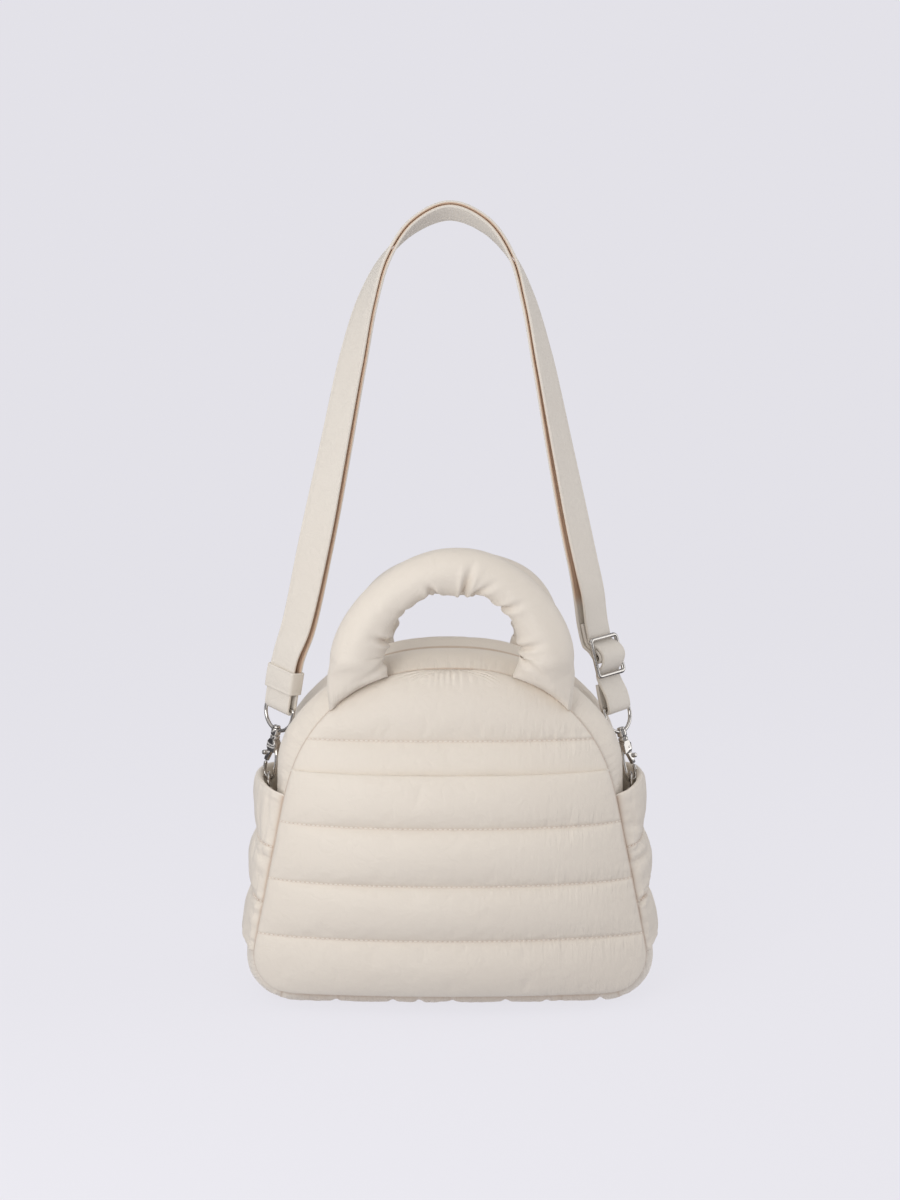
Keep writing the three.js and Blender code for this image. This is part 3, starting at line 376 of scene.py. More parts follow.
# Gathers of the cloth along a sewn line: short ripples of about a usual strength that die out away from it
def gathers(along, away, pitch, reach, shift, usual=0.45):
    places = np.arange(np.min(along) - 1, np.max(along) + 2, 0.5)
    warp = np.array([noise.noise(Vector((a / 23.0, shift, 0.5))) for a in places])
    strength = np.array([noise.noise(Vector((a / 41.0, shift, 7.5))) for a in places])
    ripple = np.sin(2 * math.pi * (places / pitch + 1.6 * warp)) * (usual + 0.9 * strength)
    return np.interp(along, places, ripple) * fade(away, reach)


# Section of a crease: a groove between two lips, at some of its widths off its line
def crease_section(off, lip):
    return lip * np.exp(-((np.abs(off) - 2.1) ** 2)) - np.exp(-(off**2))


# Shader groups shared by the finishes
def shader_group(name, inputs, outputs):
    group = bpy.data.node_groups.new(name, "ShaderNodeTree")
    for label, kind, value in inputs:
        group.interface.new_socket(label, in_out="INPUT", socket_type=kind).default_value = value
    for label, kind in outputs:
        group.interface.new_socket(label, in_out="OUTPUT", socket_type=kind)
    return group, group.nodes.new("NodeGroupInput"), group.nodes.new("NodeGroupOutput")


def math_node(tree, operation, first, second=None):
    node = tree.nodes.new("ShaderNodeMath")
    node.operation = operation
    for socket, value in zip(node.inputs, (first, second)):
        if value is None:
            continue
        if isinstance(value, (int, float)):
            socket.default_value = value
        else:
            tree.links.new(value, socket)
    return node.outputs[0]


# Colour between two others, each a plain colour or one from another node
def tone_between(tree, share, first, second):
    blend = tree.nodes.new("ShaderNodeMix")
    blend.data_type = "RGBA"
    tree.links.new(share, blend.inputs["Factor"])
    for socket, tone in zip((blend.inputs["A"], blend.inputs["B"]), (first, second)):
        if isinstance(tone, tuple):
            socket.default_value = tone
        else:
            tree.links.new(tone, socket)
    return blend.outputs["Result"]


def object_place(tree):
    return tree.nodes.new("ShaderNodeTexCoord").outputs["Object"]


# Places across and along the flat cut cloth, from the weave's map
def cut_places(tree):
    cut = tree.nodes.new("ShaderNodeUVMap")
    cut.uv_map = "weave"
    parts = tree.nodes.new("ShaderNodeSeparateXYZ")
    tree.links.new(cut.outputs["UV"], parts.inputs[0])
    return parts.outputs["X"], parts.outputs["Y"]


# Values that a piece's points are marked with
def marked(tree, name):
    attribute = tree.nodes.new("ShaderNodeAttribute")
    attribute.attribute_name = name
    return attribute.outputs["Fac"]


def noise_over(tree, place, settings):
    texture = tree.nodes.new("ShaderNodeTexNoise")
    for label, value in settings.items():
        texture.inputs[label].default_value = value
    tree.links.new(place, texture.inputs["Vector"])
    return texture


# Threads over and under each other, from the cloth's own map
def plain_weave_group():
    group, given, result = shader_group(
        "plain_weave", [("Threads", "NodeSocketFloat", 1800.0)], [("Height", "NodeSocketFloat")]
    )
    x, y = cut_places(group)
    turn = math_node(group, "MULTIPLY", given.outputs["Threads"], 2 * math.pi)
    warp = math_node(group, "SINE", math_node(group, "MULTIPLY", x, turn))
    weft = math_node(group, "SINE", math_node(group, "MULTIPLY", y, turn))
    group.links.new(math_node(group, "MULTIPLY", warp, weft), result.inputs["Height"])
    return group


# Small soft creases of thin cloth over padding
def creases_group():
    group, given, result = shader_group(
        "soft_creases", [("Scale", "NodeSocketFloat", 60.0)], [("Height", "NodeSocketFloat")]
    )
    bend = noise_over(group, object_place(group), {"Detail": 3, "Distortion": 0.6})
    group.links.new(given.outputs["Scale"], bend.inputs["Scale"])
    fold = math_node(group, "ABSOLUTE", math_node(group, "SUBTRACT", bend.outputs["Fac"], 0.5))
    full_fold = math_node(group, "MULTIPLY", fold, 2.0)
    group.links.new(math_node(group, "POWER", full_fold, 0.7), result.inputs["Height"])
    return group


# Cloth colour: two close tones in soft patches, and a warm, darker tone painted as shade where the points are
# marked, down in seams and creases
def cloth_tone_group():
    tones = [(label, "NodeSocketColor", (1, 1, 1, 1)) for label in ("Light", "Shade", "Seam")]
    group, given, result = shader_group("cloth_tone", tones, [("Color", "NodeSocketColor")])
    patches = noise_over(group, object_place(group), {"Scale": 14, "Detail": 4})
    cloth = tone_between(group, patches.outputs["Fac"], given.outputs["Light"], given.outputs["Shade"])
    depth = math_node(group, "POWER", marked(group, "painted_shade"), 3.0)
    painted_darkening = math_node(group, "MULTIPLY", depth, 0.75)
    group.links.new(tone_between(group, painted_darkening, cloth, given.outputs["Seam"]), result.inputs["Color"])
    return group


# Fine puckers that stand across a sewn line, where the cloth is marked as drawn in
def puckers_group():
    group, given, result = shader_group(
        "fine_puckers", [("Pitch", "NodeSocketFloat", 300.0)], [("Height", "NodeSocketFloat")]
    )
    x, y = cut_places(group)
    lengthwise = math_node(group, "MULTIPLY", given.outputs["Pitch"], 0.17)
    drawn_out = group.nodes.new("ShaderNodeCombineXYZ")
    group.links.new(math_node(group, "MULTIPLY", x, given.outputs["Pitch"]), drawn_out.inputs["X"])
    group.links.new(math_node(group, "MULTIPLY", y, lengthwise), drawn_out.inputs["Y"])
    folds = noise_over(group, drawn_out.outputs[0], {"Scale": 1, "Detail": 2, "Distortion": 0.4})
    height = math_node(group, "MULTIPLY", folds.outputs["Fac"], marked(group, "drawn"))
    group.links.new(height, result.inputs["Height"])
    return group


# Fine polishing marks that vary the gloss of plated metal
def polish_group():
    group, given, result = shader_group(
        "polish_marks",
        [("Smooth", "NodeSocketFloat", 0.1), ("Dull", "NodeSocketFloat", 0.3)],
        [("Roughness", "NodeSocketFloat")],
    )
    marks = noise_over(group, object_place(group), {"Scale": 420, "Detail": 3})
    span = math_node(group, "SUBTRACT", given.outputs["Dull"], given.outputs["Smooth"])
    varied = math_node(group, "MULTIPLY", marks.outputs["Fac"], span)
    group.links.new(math_node(group, "ADD", varied, given.outputs["Smooth"]), result.inputs["Roughness"])
    return group


PLAIN_WEAVE = plain_weave_group()
FINE_PUCKERS = puckers_group()
SOFT_CREASES = creases_group()
CLOTH_TONE = cloth_tone_group()
POLISH_MARKS = polish_group()
PUCKER_PITCH = 420.0  # folds to the metre
PUCKER_HEIGHT = 1.1


def new_finish(name):
    material = bpy.data.materials.new(name)
    material.use_nodes = True
    return material, material.node_tree, material.node_tree.nodes["Principled BSDF"]


# A shared group placed in a finish with its own values
def effect(tree, group, values):
    node = tree.nodes.new("ShaderNodeGroup")
    node.node_tree = group
    for label, value in values.items():
        node.inputs[label].default_value = value
    return node


# Relief of a surface, over the relief below it
def relief(tree, height, distance, below=None):
    bump = tree.nodes.new("ShaderNodeBump")
    bump.inputs["Strength"].default_value = 1
    bump.inputs["Distance"].default_value = distance * MM
    tree.links.new(height, bump.inputs["Height"])
    if below is not None:
        tree.links.new(below, bump.inputs["Normal"])
    return bump.outputs["Normal"]


# Finish of a cloth: its three tones, threads to the metre, creases to the metre, and heights in millimetres
def cloth_finish(name, tones, threads, creases, crease_height, weave_height, roughness, sheen):
    material, tree, shader = new_finish(name)
    shader.inputs["Roughness"].default_value = roughness
    shader.inputs["Specular IOR Level"].default_value = 0.35
    shader.inputs["Sheen Weight"].default_value = sheen
    shader.inputs["Sheen Roughness"].default_value = 0.45
    tone = effect(tree, CLOTH_TONE, {label: (*color, 1) for label, color in tones.items()})
    tree.links.new(tone.outputs["Color"], shader.inputs["Base Color"])
    soft = effect(tree, SOFT_CREASES, {"Scale": creases})
    puckers = effect(tree, FINE_PUCKERS, {"Pitch": PUCKER_PITCH})
    weave = effect(tree, PLAIN_WEAVE, {"Threads": threads})
    folds = relief(tree, soft.outputs["Height"], crease_height)
    drawn = relief(tree, puckers.outputs["Height"], PUCKER_HEIGHT, folds)
    yarn = relief(tree, weave.outputs["Height"], weave_height, drawn)
    tree.links.new(yarn, shader.inputs["Normal"])
    return material


def plated_finish(name, color, smooth_value, dull_value):
    material, tree, shader = new_finish(name)
    shader.inputs["Base Color"].default_value = (*color, 1)
    shader.inputs["Metallic"].default_value = 1
    polish = effect(tree, POLISH_MARKS, {"Smooth": smooth_value, "Dull": dull_value})
    tree.links.new(polish.outputs["Roughness"], shader.inputs["Roughness"])
    return material


# The third tone of each cloth is a painted shade, warm and dark, laid in its seams, creases and the gaps
# between plies
nylon = cloth_finish(
    "cream_nylon",
    {"Light": (0.80, 0.736, 0.645), "Shade": (0.77, 0.70, 0.61), "Seam": (0.50, 0.34, 0.23)},
    threads=1800,
    creases=75,
    crease_height=0.35,
    weave_height=0.02,
    roughness=0.52,
    sheen=0.2,
)
strap_cloth = cloth_finish(
    "cream_strap",
    {"Light": (0.80, 0.752, 0.672), "Shade": (0.75, 0.69, 0.61), "Seam": (0.56, 0.31, 0.15)},
    threads=1500,
    creases=110,
    crease_height=0.3,
    weave_height=0.03,
    roughness=0.58,
    sheen=0.15,
)
zip_cloth = cloth_finish(
    "cream_zip",
    {"Light": (0.66, 0.57, 0.47), "Shade": (0.6, 0.5, 0.4), "Seam": (0.45, 0.33, 0.24)},
    threads=1500,
    creases=90,
    crease_height=0.1,
    weave_height=0.03,
    roughness=0.5,
    sheen=0.1,
)
thread = cloth_finish(
    "cream_thread",
    {"Light": (0.84, 0.78, 0.70), "Shade": (0.80, 0.73, 0.65), "Seam": (0.84, 0.78, 0.70)},
    threads=3000,
    creases=300,
    crease_height=0.05,
    weave_height=0.01,
    roughness=0.5,
    sheen=0.2,
)
nickel = plated_finish("polished_nickel", (0.60, 0.575, 0.55), 0.04, 0.12)


# Front, back and pocket panels
ACROSS_COLUMNS = {"front": 120, "back": 100}
OVERLAP = 1.2  # by which a panel's edge laps its neighbour, so that no seam gapes


# Places across a panel, a little closer together towards its sides
def across_panel(u):
    return u * (1.15 - 0.15 * u * u)


def panel_points(side, heights, outer, inner, roll=0.0):
    top = len(heights) - 1

    def shape(across, row, depth):
        u = across_panel(across)
        z = heights[row]
        x = u * (half_width(z) + OVERLAP)
        out = (1 - depth) * outer(u, z) + depth * inner(u, z)
        lift = np.where(row == top, roll * np.sin(math.pi * depth), 0)
        return np.column_stack([x, side * (seam_depth(x, z) + out), z + lift])

    return shape


def panel_cut(heights):
    def flat(across, row):
        z = heights[row]
        return np.column_stack([across_panel(across) * half_width(z), z])

    return flat


def belly(u, z):
    return np.interp(z, BELLY_Z, BELLY_OUT) * dome_profile(u)


def padding_at(u, z):
    from_seam = np.minimum(z - SEAM_Z, APEX_Z - z) / 15
    return dome_profile(u) * smooth(from_seam, 0.2, 1)


# Distance from a height to the nearest sewn line
def away_from(seams, z):
    return np.min(np.abs(np.asarray(z)[:, None] - np.asarray(seams)[None, :]), axis=1)


# Puff across a panel: full almost up to its side seams
def full_across(u):
    return np.maximum(0, 1 - np.abs(u) ** 2.6) ** 0.45


# Filling that is a little fuller here and there
def fullness(u, z, shift):
    spots = np.column_stack([u * 110, z, np.zeros_like(z)])
    return 1 + 0.1 * unevenness(spots, 60.0, shift) + 0.05 * unevenness(spots, 21.0, shift + 3)


# Points of a piece's outer skin along some of its rows, in order across
def skin_lines(rows, across, row, depth):
    lines = []
    for seam_row in rows:
        line = np.flatnonzero((row == seam_row) & (depth < SKIN))
        lines.append(line[np.argsort(across[line])])
    return lines


# A quilted panel with its lining, sewn through along some of its seams: the piece, and those seams' points
def sew_panel(
    name, side, seams, spacings, outer, inner, sewn_seams, still_below=None, roll=0.0, edge_ticks=0.0
):
    heights, seam_rows = rows_between(seams, spacings)
    rows = len(heights) - 1
    piece, across, row, depth = padded_slab(
        name,
        ACROSS_COLUMNS["front" if side < 0 else "back"],
        rows,
        panel_points(side, heights, outer, inner, roll),
        panel_cut(heights),
        3 if roll else 0,
    )
    z = heights[row]
    sewn = (depth > SKIN) | (np.abs(across) > 0.999) | (row == 0)
    if not roll:
        sewn |= row == rows
    if still_below is not None:
        sewn |= z < still_below
    for k in sewn_seams:
        sewn |= row == seam_rows[k]
    puff_up(piece, sewn)
    u = across_panel(across)
    x = u * half_width(z)
    away = away_from([seams[k] for k in sewn_seams], z)
    from_edge = (1 - np.abs(u)) * half_width(z)
    # Painted shade: the skin is coloured darker along its sewn seams and along the panel's edges, where shade
    # falls in the creases
    tone = np.maximum(0.8 * (1 - away / 1.9), 1 - from_edge / 1.8)
    mark_skin(piece, "painted_shade", tone, depth)
    free = (depth < SKIN) & ~sewn
    drawn = 0.16 + 0.84 * smooth(-side * u, 0.0, 0.85)
    ripple = 0.55 * drawn * gathers(x, away, pitch=5.6, reach=8.0, shift=3.0 * side)
    ripple += 0.5 * drawn * gathers(z, from_edge, pitch=7.0, reach=9.0, shift=5.0 * side)
    below_top = seams[-1] - z
    ticked = edge_ticks * (1 - smooth(np.abs(x), 12, 38))
    ticks = 0.55 * gathers(x, below_top - 2, pitch=4.9, reach=6.0, shift=7.0 * side, usual=1.1)
    ticks += 0.4 * gathers(x, below_top - 3, pitch=3.1, reach=5.0, shift=19.0 * side, usual=1.1)
    ripple += ticked * (ticks - 0.8 * fade(below_top - 9.5, 1.3))
    raise_by(piece, np.where(free, ripple, 0))
    by_side = 0.8 * fade(from_edge, 8) * (1 - smooth(z, 185, 205))
    near_seam = np.maximum(fade(away, 12) * (1 - smooth(z, 205, 220)), by_side)
    mark_skin(piece, "drawn", (0.3 + 0.7 * near_seam) * drawn * smooth(away, 0, 2), depth)
    return piece, skin_lines([seam_rows[k] for k in sewn_seams[1:]], across, row, depth)


# Points of a finished piece's smooth surface
def surface_points(piece, points):
    smooth_piece = piece.evaluated_get(bpy.context.evaluated_depsgraph_get())
    return points_of(smooth_piece.data)[points] / MM


STITCH = {"pitch": 3.3, "lift": 0.12, "bead": (1.15, 0.46, 0.36)}


# Stitches along lines of a piece's points, each a short bead of thread
def stitch(name, piece, lines, outward):
    bm = bmesh.new()
    outward = Vector(outward)
    pitch = STITCH["pitch"]
    size = Matrix.Diagonal((*STITCH["bead"], 1.0)) @ Matrix.Rotation(math.pi / 2, 4, "Y")
    for points in lines:
        line = surface_points(piece, points)
        run = run_along(line)
        places = np.arange(pitch * 0.7, run[-1] - pitch * 0.5, pitch)
        for spot, ahead in zip(points_on(line, run, places), points_on(line, run, places + 0.5)):
            along = (Vector(ahead) - Vector(spot)).normalized()
            up = (outward - along * outward.dot(along)).normalized()
            turn = Matrix((along, up.cross(along), up)).transposed().to_4x4()
            lift = Matrix.Translation((Vector(spot) + up * STITCH["lift"]) * MM)
            bmesh.ops.create_uvsphere(bm, u_segments=6, v_segments=4, radius=MM, matrix=lift @ turn @ size)
    beads = finished(name, bm)
    beads.data.materials.append(thread)
    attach(beads, "bag")


QUILT_FILL = 0.85  # share of the puff that a panel has before its padding is blown up
MOUTH_LEAN = 2.4  # by which the slip pocket's soft mouth leans back on the panel
HIDDEN_SEAM = 144.0  # of the front panel, behind the slip pocket
HIDDEN_SPACING = 14.0
TOP_SPACING = 1.4


def make_front_pocket():
    def stand(z):
        share = (z - SEAM_Z) / (MOUTH_Z - SEAM_Z)
        return POCKET_GAPE * share**1.5 - MOUTH_LEAN * smooth(share, 0.72, 1.0)

    def inside(u, z):
        return EDGE / 2 + GAP + belly(u, z) + stand(z) * dome_profile(u)

    def outside(u, z):
        channel, c = channel_at(POCKET_SEAMS, z)
        c = np.where(channel == len(POCKET_SEAMS) - 2, c * OPEN_EDGE, c)
        puff = QUILT_FILL * PUFF["pocket"] * channel_profile(c) * fullness(u, z, 1.0)
        return inside(u, z) + EDGE + puff * full_across(u)

    piece, lines = sew_panel(
        "front_pocket_quilt", -1, POCKET_SEAMS, [SPACING] * 4, outside, inside, [0, 1, 2, 3], roll=1.6
    )
    place_padded(piece, "front_pocket")
    stitch("front_pocket_stitches", piece, lines, (0, -1, 0))


def make_front_panel():
    seams = [*POCKET_SEAMS[:3], HIDDEN_SEAM, UPPER_SEAM, TOP_SEAM]
    puffs = np.array([0, 0, 0, PUFF["above_mouth"], PUFF["upper"]])

    def outside(u, z):
        channel, c = channel_at(seams, z)
        arch = channel_profile(c)
        rise = np.where((channel == len(puffs) - 1) & (c > 0.5), arch**0.6, arch)
        puff = QUILT_FILL * puffs[channel] * rise * fullness(u, z, 5.0)
        return EDGE / 2 + belly(u, z) + puff * full_across(u)

    def inside(u, z):
        return -EDGE / 2 + belly(u, z) - PAD * padding_at(u, z)

    piece, lines = sew_panel(
        "front_panel_quilt",
        -1,
        seams,
        [HIDDEN_SPACING] * 3 + [SPACING] * 2,
        outside,
        inside,
        [3, 4],
        still_below=HIDDEN_SEAM,
        edge_ticks=0.75,
    )
    place_padded(piece, "front_panel")
    stitch("front_panel_stitches", piece, lines, (0, -1, 0))


def make_back_panel():
    def outside(u, z):
        channel, c = channel_at(BACK_SEAMS, z)
        full = np.where(channel == len(BACK_SEAMS) - 2, PUFF["top_band"], PUFF["back"])
        puff = QUILT_FILL * full * channel_profile(c) * fullness(u, z, 9.0)
        return EDGE / 2 + BACK_BELLY_EXTRA * belly(u, z) + puff * full_across(u)

    def inside(u, z):
        return -EDGE / 2 + BACK_BELLY_EXTRA * belly(u, z) - PAD * padding_at(u, z)

    spacings = [BACK_SPACING] * (len(BACK_SEAMS) - 2) + [TOP_SPACING]
    piece, lines = sew_panel(
        "back_panel_quilt", 1, BACK_SEAMS, spacings, outside, inside, list(range(len(BACK_SEAMS) - 1))
    )
    place_padded(piece, "back_panel")
    stitch("back_panel_stitches", piece, lines, (0, 1, 0))


make_front_pocket()
make_front_panel()
make_back_panel()


# Gusset, zip strips and side pockets, along the outline between the two panel seams
ZIP_END = float(distance_at_height(WAIST_Z - 2))
POCKET_FOOT = float(distance_at_height(SIDE_SEAMS[0]))
ZIP_EDGE = 0.5 - ZIP_HALF / (2 * SIDE_DEPTH)


# Points of a strip: t runs from the front seam to the back one, and lap is how far it covers the panel's edge
def strip_points(distance, t, off, lap=0.3):
    x, z, out_x, out_z = outline_at(distance)
    reach = seam_depth(x, z) - EDGE / 2 + lap
    return np.column_stack([x + off * out_x, (2 * t - 1) * reach, np.maximum(0, z + off * out_z)])


def strip_cut(distance, t):
    return np.column_stack([distance, 2 * t * SIDE_DEPTH])


def bulge_at(distance):
    return np.interp(outline_at(distance)[1], BULGE_Z, BULGE_OUT)


def gusset_out(distance, t):
    bulge = bulge_at(distance) * strip_profile(t)
    reach = np.abs(distance)
    drawn_in = (1 - BASE_SEAM_RISE) * (1 - channel_profile((reach / BASE_SEAM_PITCH) % 1) ** 0.5)
    pinch = 1 - drawn_in * smooth(from_strip_edge(t), 6, 20)
    return np.where(reach > POCKET_FOOT, bulge, bulge * pinch)


def from_strip_edge(t):
    return np.minimum(t, 1 - t) * 2 * SIDE_DEPTH


# Places across a strip, closer together towards its edges
def across_strip(share):
    s = 2 * share - 1
    return 0.5 + 0.5 * s * (1.2 - 0.2 * s * s)


GUSSET_ROWS = 34
BASE_SPACING = 1.8
SIDE_SPACING = 5.0
TUCK_HALF = 1.7
# Small tucks in the front edge of the base: place and depth
BASE_TUCKS = [(-39, 2.4), (-21, 3.2), (2, 2.2), (38, 2.6), (66, 1.6), (103, 3.0), (-78, 1.6)]


def make_gusset():
    end = ZIP_END - GAP
    pitches = np.arange(1, int(POCKET_FOOT / BASE_SEAM_PITCH) + 1) * BASE_SEAM_PITCH
    marks = [0.0, *pitches, POCKET_FOOT, end]
    half, _ = rows_between(marks, [BASE_SPACING] * (len(marks) - 2) + [SIDE_SPACING], 0)
    stations = np.concatenate([-half[:0:-1], half])
    seams = np.array([0.0, *pitches])
    rows = GUSSET_ROWS
    last = len(stations) - 1

    def station(across):
        return stations[np.rint((across + 1) / 2 * last).astype(int)]

    def shape(across, row, depth):
        d = station(across)
        t = across_strip(row / rows)
        outer = gusset_out(d, t)
        inner = -EDGE - PAD * strip_profile(t)
        return strip_points(d, t, (1 - depth) * outer + depth * inner)

    def flat(across, row):
        return strip_cut(station(across), across_strip(row / rows))

    piece, across, row, depth = padded_slab("gusset_quilt", last, rows, shape, flat)
    d = station(across)
    t = across_strip(row / rows)
    away = np.min(np.abs(np.abs(d)[:, None] - seams[None, :]), axis=1)
    sewn = (depth > SKIN) | (row == 0) | (row == rows) | (np.abs(d) > POCKET_FOOT) | (away < 0.1)
    puff_up(piece, sewn, limit=3.0)
    free = (depth < SKIN) & (row > 0) & (row < rows)
    edge = from_strip_edge(t)
    slanted = d + np.where(t < 0.5, 0.7, -0.7) * edge
    ripple = 0.7 * gathers(slanted, edge - 4, pitch=8.0, reach=7.0, shift=11.0)
    ripple += 0.5 * gathers(slanted, edge - 4, pitch=4.7, reach=7.0, shift=13.0, usual=0.7)
    for place, deep in BASE_TUCKS:
        tuck_at = np.where(t < 0.5, place, -place)
        ripple -= deep * fade(d - tuck_at, TUCK_HALF) * fade(edge - 12, 10)
    below = 1 - smooth(np.abs(d), POCKET_FOOT - 8, POCKET_FOOT + 4)
    raise_by(piece, np.where(free, ripple * below, 0))
    points = points_of(piece.data)
    points[:, 2] = np.maximum(points[:, 2], 0)
    set_points(piece, points)
    # Painted shade: darker cloth along the base's cross seams and the strip's edges, and a warm painted shade
    # over the whole base that fades out past its lower corners
    low = np.abs(d) < POCKET_FOOT + 20
    painted_corner_darkening = 0.72 * (1 - smooth(np.abs(d), CORNER_X - 12, CORNER_X + 20))
    tone = np.maximum(np.where(low, 0.85 * (1 - away / 2.5), 0), np.maximum(1 - edge / 2.2, painted_corner_darkening))
    mark_skin(piece, "painted_shade", tone, depth)
    mark_skin(piece, "drawn", 0.9 * below, depth)
    place_padded(piece, "gusset")


STRIP_PUFF = {"front": 2.6, "back": 3.0}
STRIP_CREST = 0.44  # share of a strip's width, from the panel, at which it is highest
STRIP_ROLL = 1.0  # by which a puffed strip's edge rolls down to the zip
ZIP_LIES = 1.5  # by which the zip lies below the strips


# Distance along the outline at a place from the left end of the zip, over the top, to the right end
def over_the_top(across):
    side = np.where(across < 0, -1.0, 1.0)
    return side * (OUTLINE_LENGTH - np.abs(across) * (OUTLINE_LENGTH - ZIP_END))


# Distance along the zip from the middle of the top, to the left or to the right
def along_zip(across):
    return across * (OUTLINE_LENGTH - ZIP_END)


# Share of the full puff of a zip strip: none at the zip's ends
def puffed_share(across):
    return 1 - smooth(np.abs(across), 0.8, 1.0)


def make_zip_strip(where):
    front = where == "front"
    rows = 22
    columns = 150

    def share_of(row):
        share = row / rows
        return share - 0.35 * np.sin(2 * math.pi * share) / (2 * math.pi)

    def place(row):
        t = ZIP_EDGE * share_of(row)
        return t if front else 1 - t

    def shape(across, row, depth):
        d = over_the_top(across)
        t = place(row)
        share = share_of(row)
        full = puffed_share(across)
        bulge = bulge_at(d)
        puff = STRIP_PUFF[where]
        climb = np.sin(math.pi / 2 * np.minimum(1, share / STRIP_CREST))
        roof = (bulge + puff) * climb - (puff + STRIP_ROLL) * smooth(share, STRIP_CREST, 1.0)
        off = bulge * strip_profile(t) * (1 - full) + roof * full
        return strip_points(d, t, off - depth * EDGE)

    def flat(across, row):
        return strip_cut(along_zip(across), place(row))

    piece, across, row, depth = padded_slab("zip_strip_%s_padded" % where, columns, rows, shape, flat)
    sewn = (depth > SKIN) | (row == 0) | (row == rows) | (np.abs(across) > 0.999)
    puff_up(piece, sewn, limit=0.8 if front else 1.6)
    edge = from_strip_edge(place(row))
    free = (depth < SKIN) & ~sewn
    shift = 17.0 if front else 23.0
    ripple = 0.5 * gathers(along_zip(across), edge, pitch=7.5, reach=9.0, shift=shift)
    raise_by(piece, np.where(free, ripple, 0))
    # Painted shade: darker cloth along the strip's sewn edges and in a thin line beside the zip
    tone = np.maximum(1 - edge / 1.8, 0.95 * smooth(share_of(row), 0.88, 0.98))
    mark_skin(piece, "painted_shade", tone, depth)
    mark_skin(piece, "drawn", 0.7 * fade(edge, 12), depth)
    place_padded(piece, "zip_strip_" + where)


# The zip's coil: half its width, its height, and the pitch and height of its teeth
COIL = {"half": 2.4, "high": 0.8, "pitch": 1.5, "teeth": 0.25}


def make_zip_chain():
    rows = 10
    columns = 440

    def place(row):
        return ZIP_EDGE + (1 - 2 * ZIP_EDGE) * row / rows

    def shape(across, row, depth):
        d = over_the_top(across)
        t = place(row)
        from_middle = (t - 0.5) * 2 * SIDE_DEPTH
        coil = np.clip(1 - (from_middle / COIL["half"]) ** 2, 0, 1) ** 0.5
        turns = along_zip(across) / COIL["pitch"] + 0.5 * (from_middle > 0)
        teeth = COIL["teeth"] * np.cos(2 * math.pi * turns) * coil
        tape = bulge_at(d) - ZIP_LIES
        return strip_points(d, t, np.where(depth > 0.5, tape - EDGE, tape + COIL["high"] * coil + teeth))

    def flat(across, row):
        return strip_cut(along_zip(across), place(row))

    piece = padded_slab("zip_coil", columns, rows, shape, flat)[0]
    place_piece(piece, "zip_chain", zip_cloth)


SIDE_MOUTH_DIP = 2.0  # by which a side pocket's mouth is lower where it meets the panels
SIDE_LAP = 2.2  # by which it covers the panels' edges
SIDE_COLUMNS = 54
SIDE_TUCK = 1.6  # by which its edges go in under the panels' edges
FOOT_TUCK = 2.2  # by which its foot goes in under the gusset's edge
# Creases that run out from a side pocket's front edge: side, height at the edge, depth, slant and reach
SIDE_CREASES = [
    (1, 98, 3.0, 0.05, 26),
    (1, 71, 3.2, 0.35, 26),
    (1, 57, 1.6, -0.1, 14),
    (1, 124, 1.6, -0.3, 16),
    (-1, 101, 2.0, 0.1, 12),
    (-1, 89, 1.2, -0.1, 10),
    (-1, 71, 2.2, 0.3, 18),
    (-1, 52, 1.0, 0.2, 12),
]


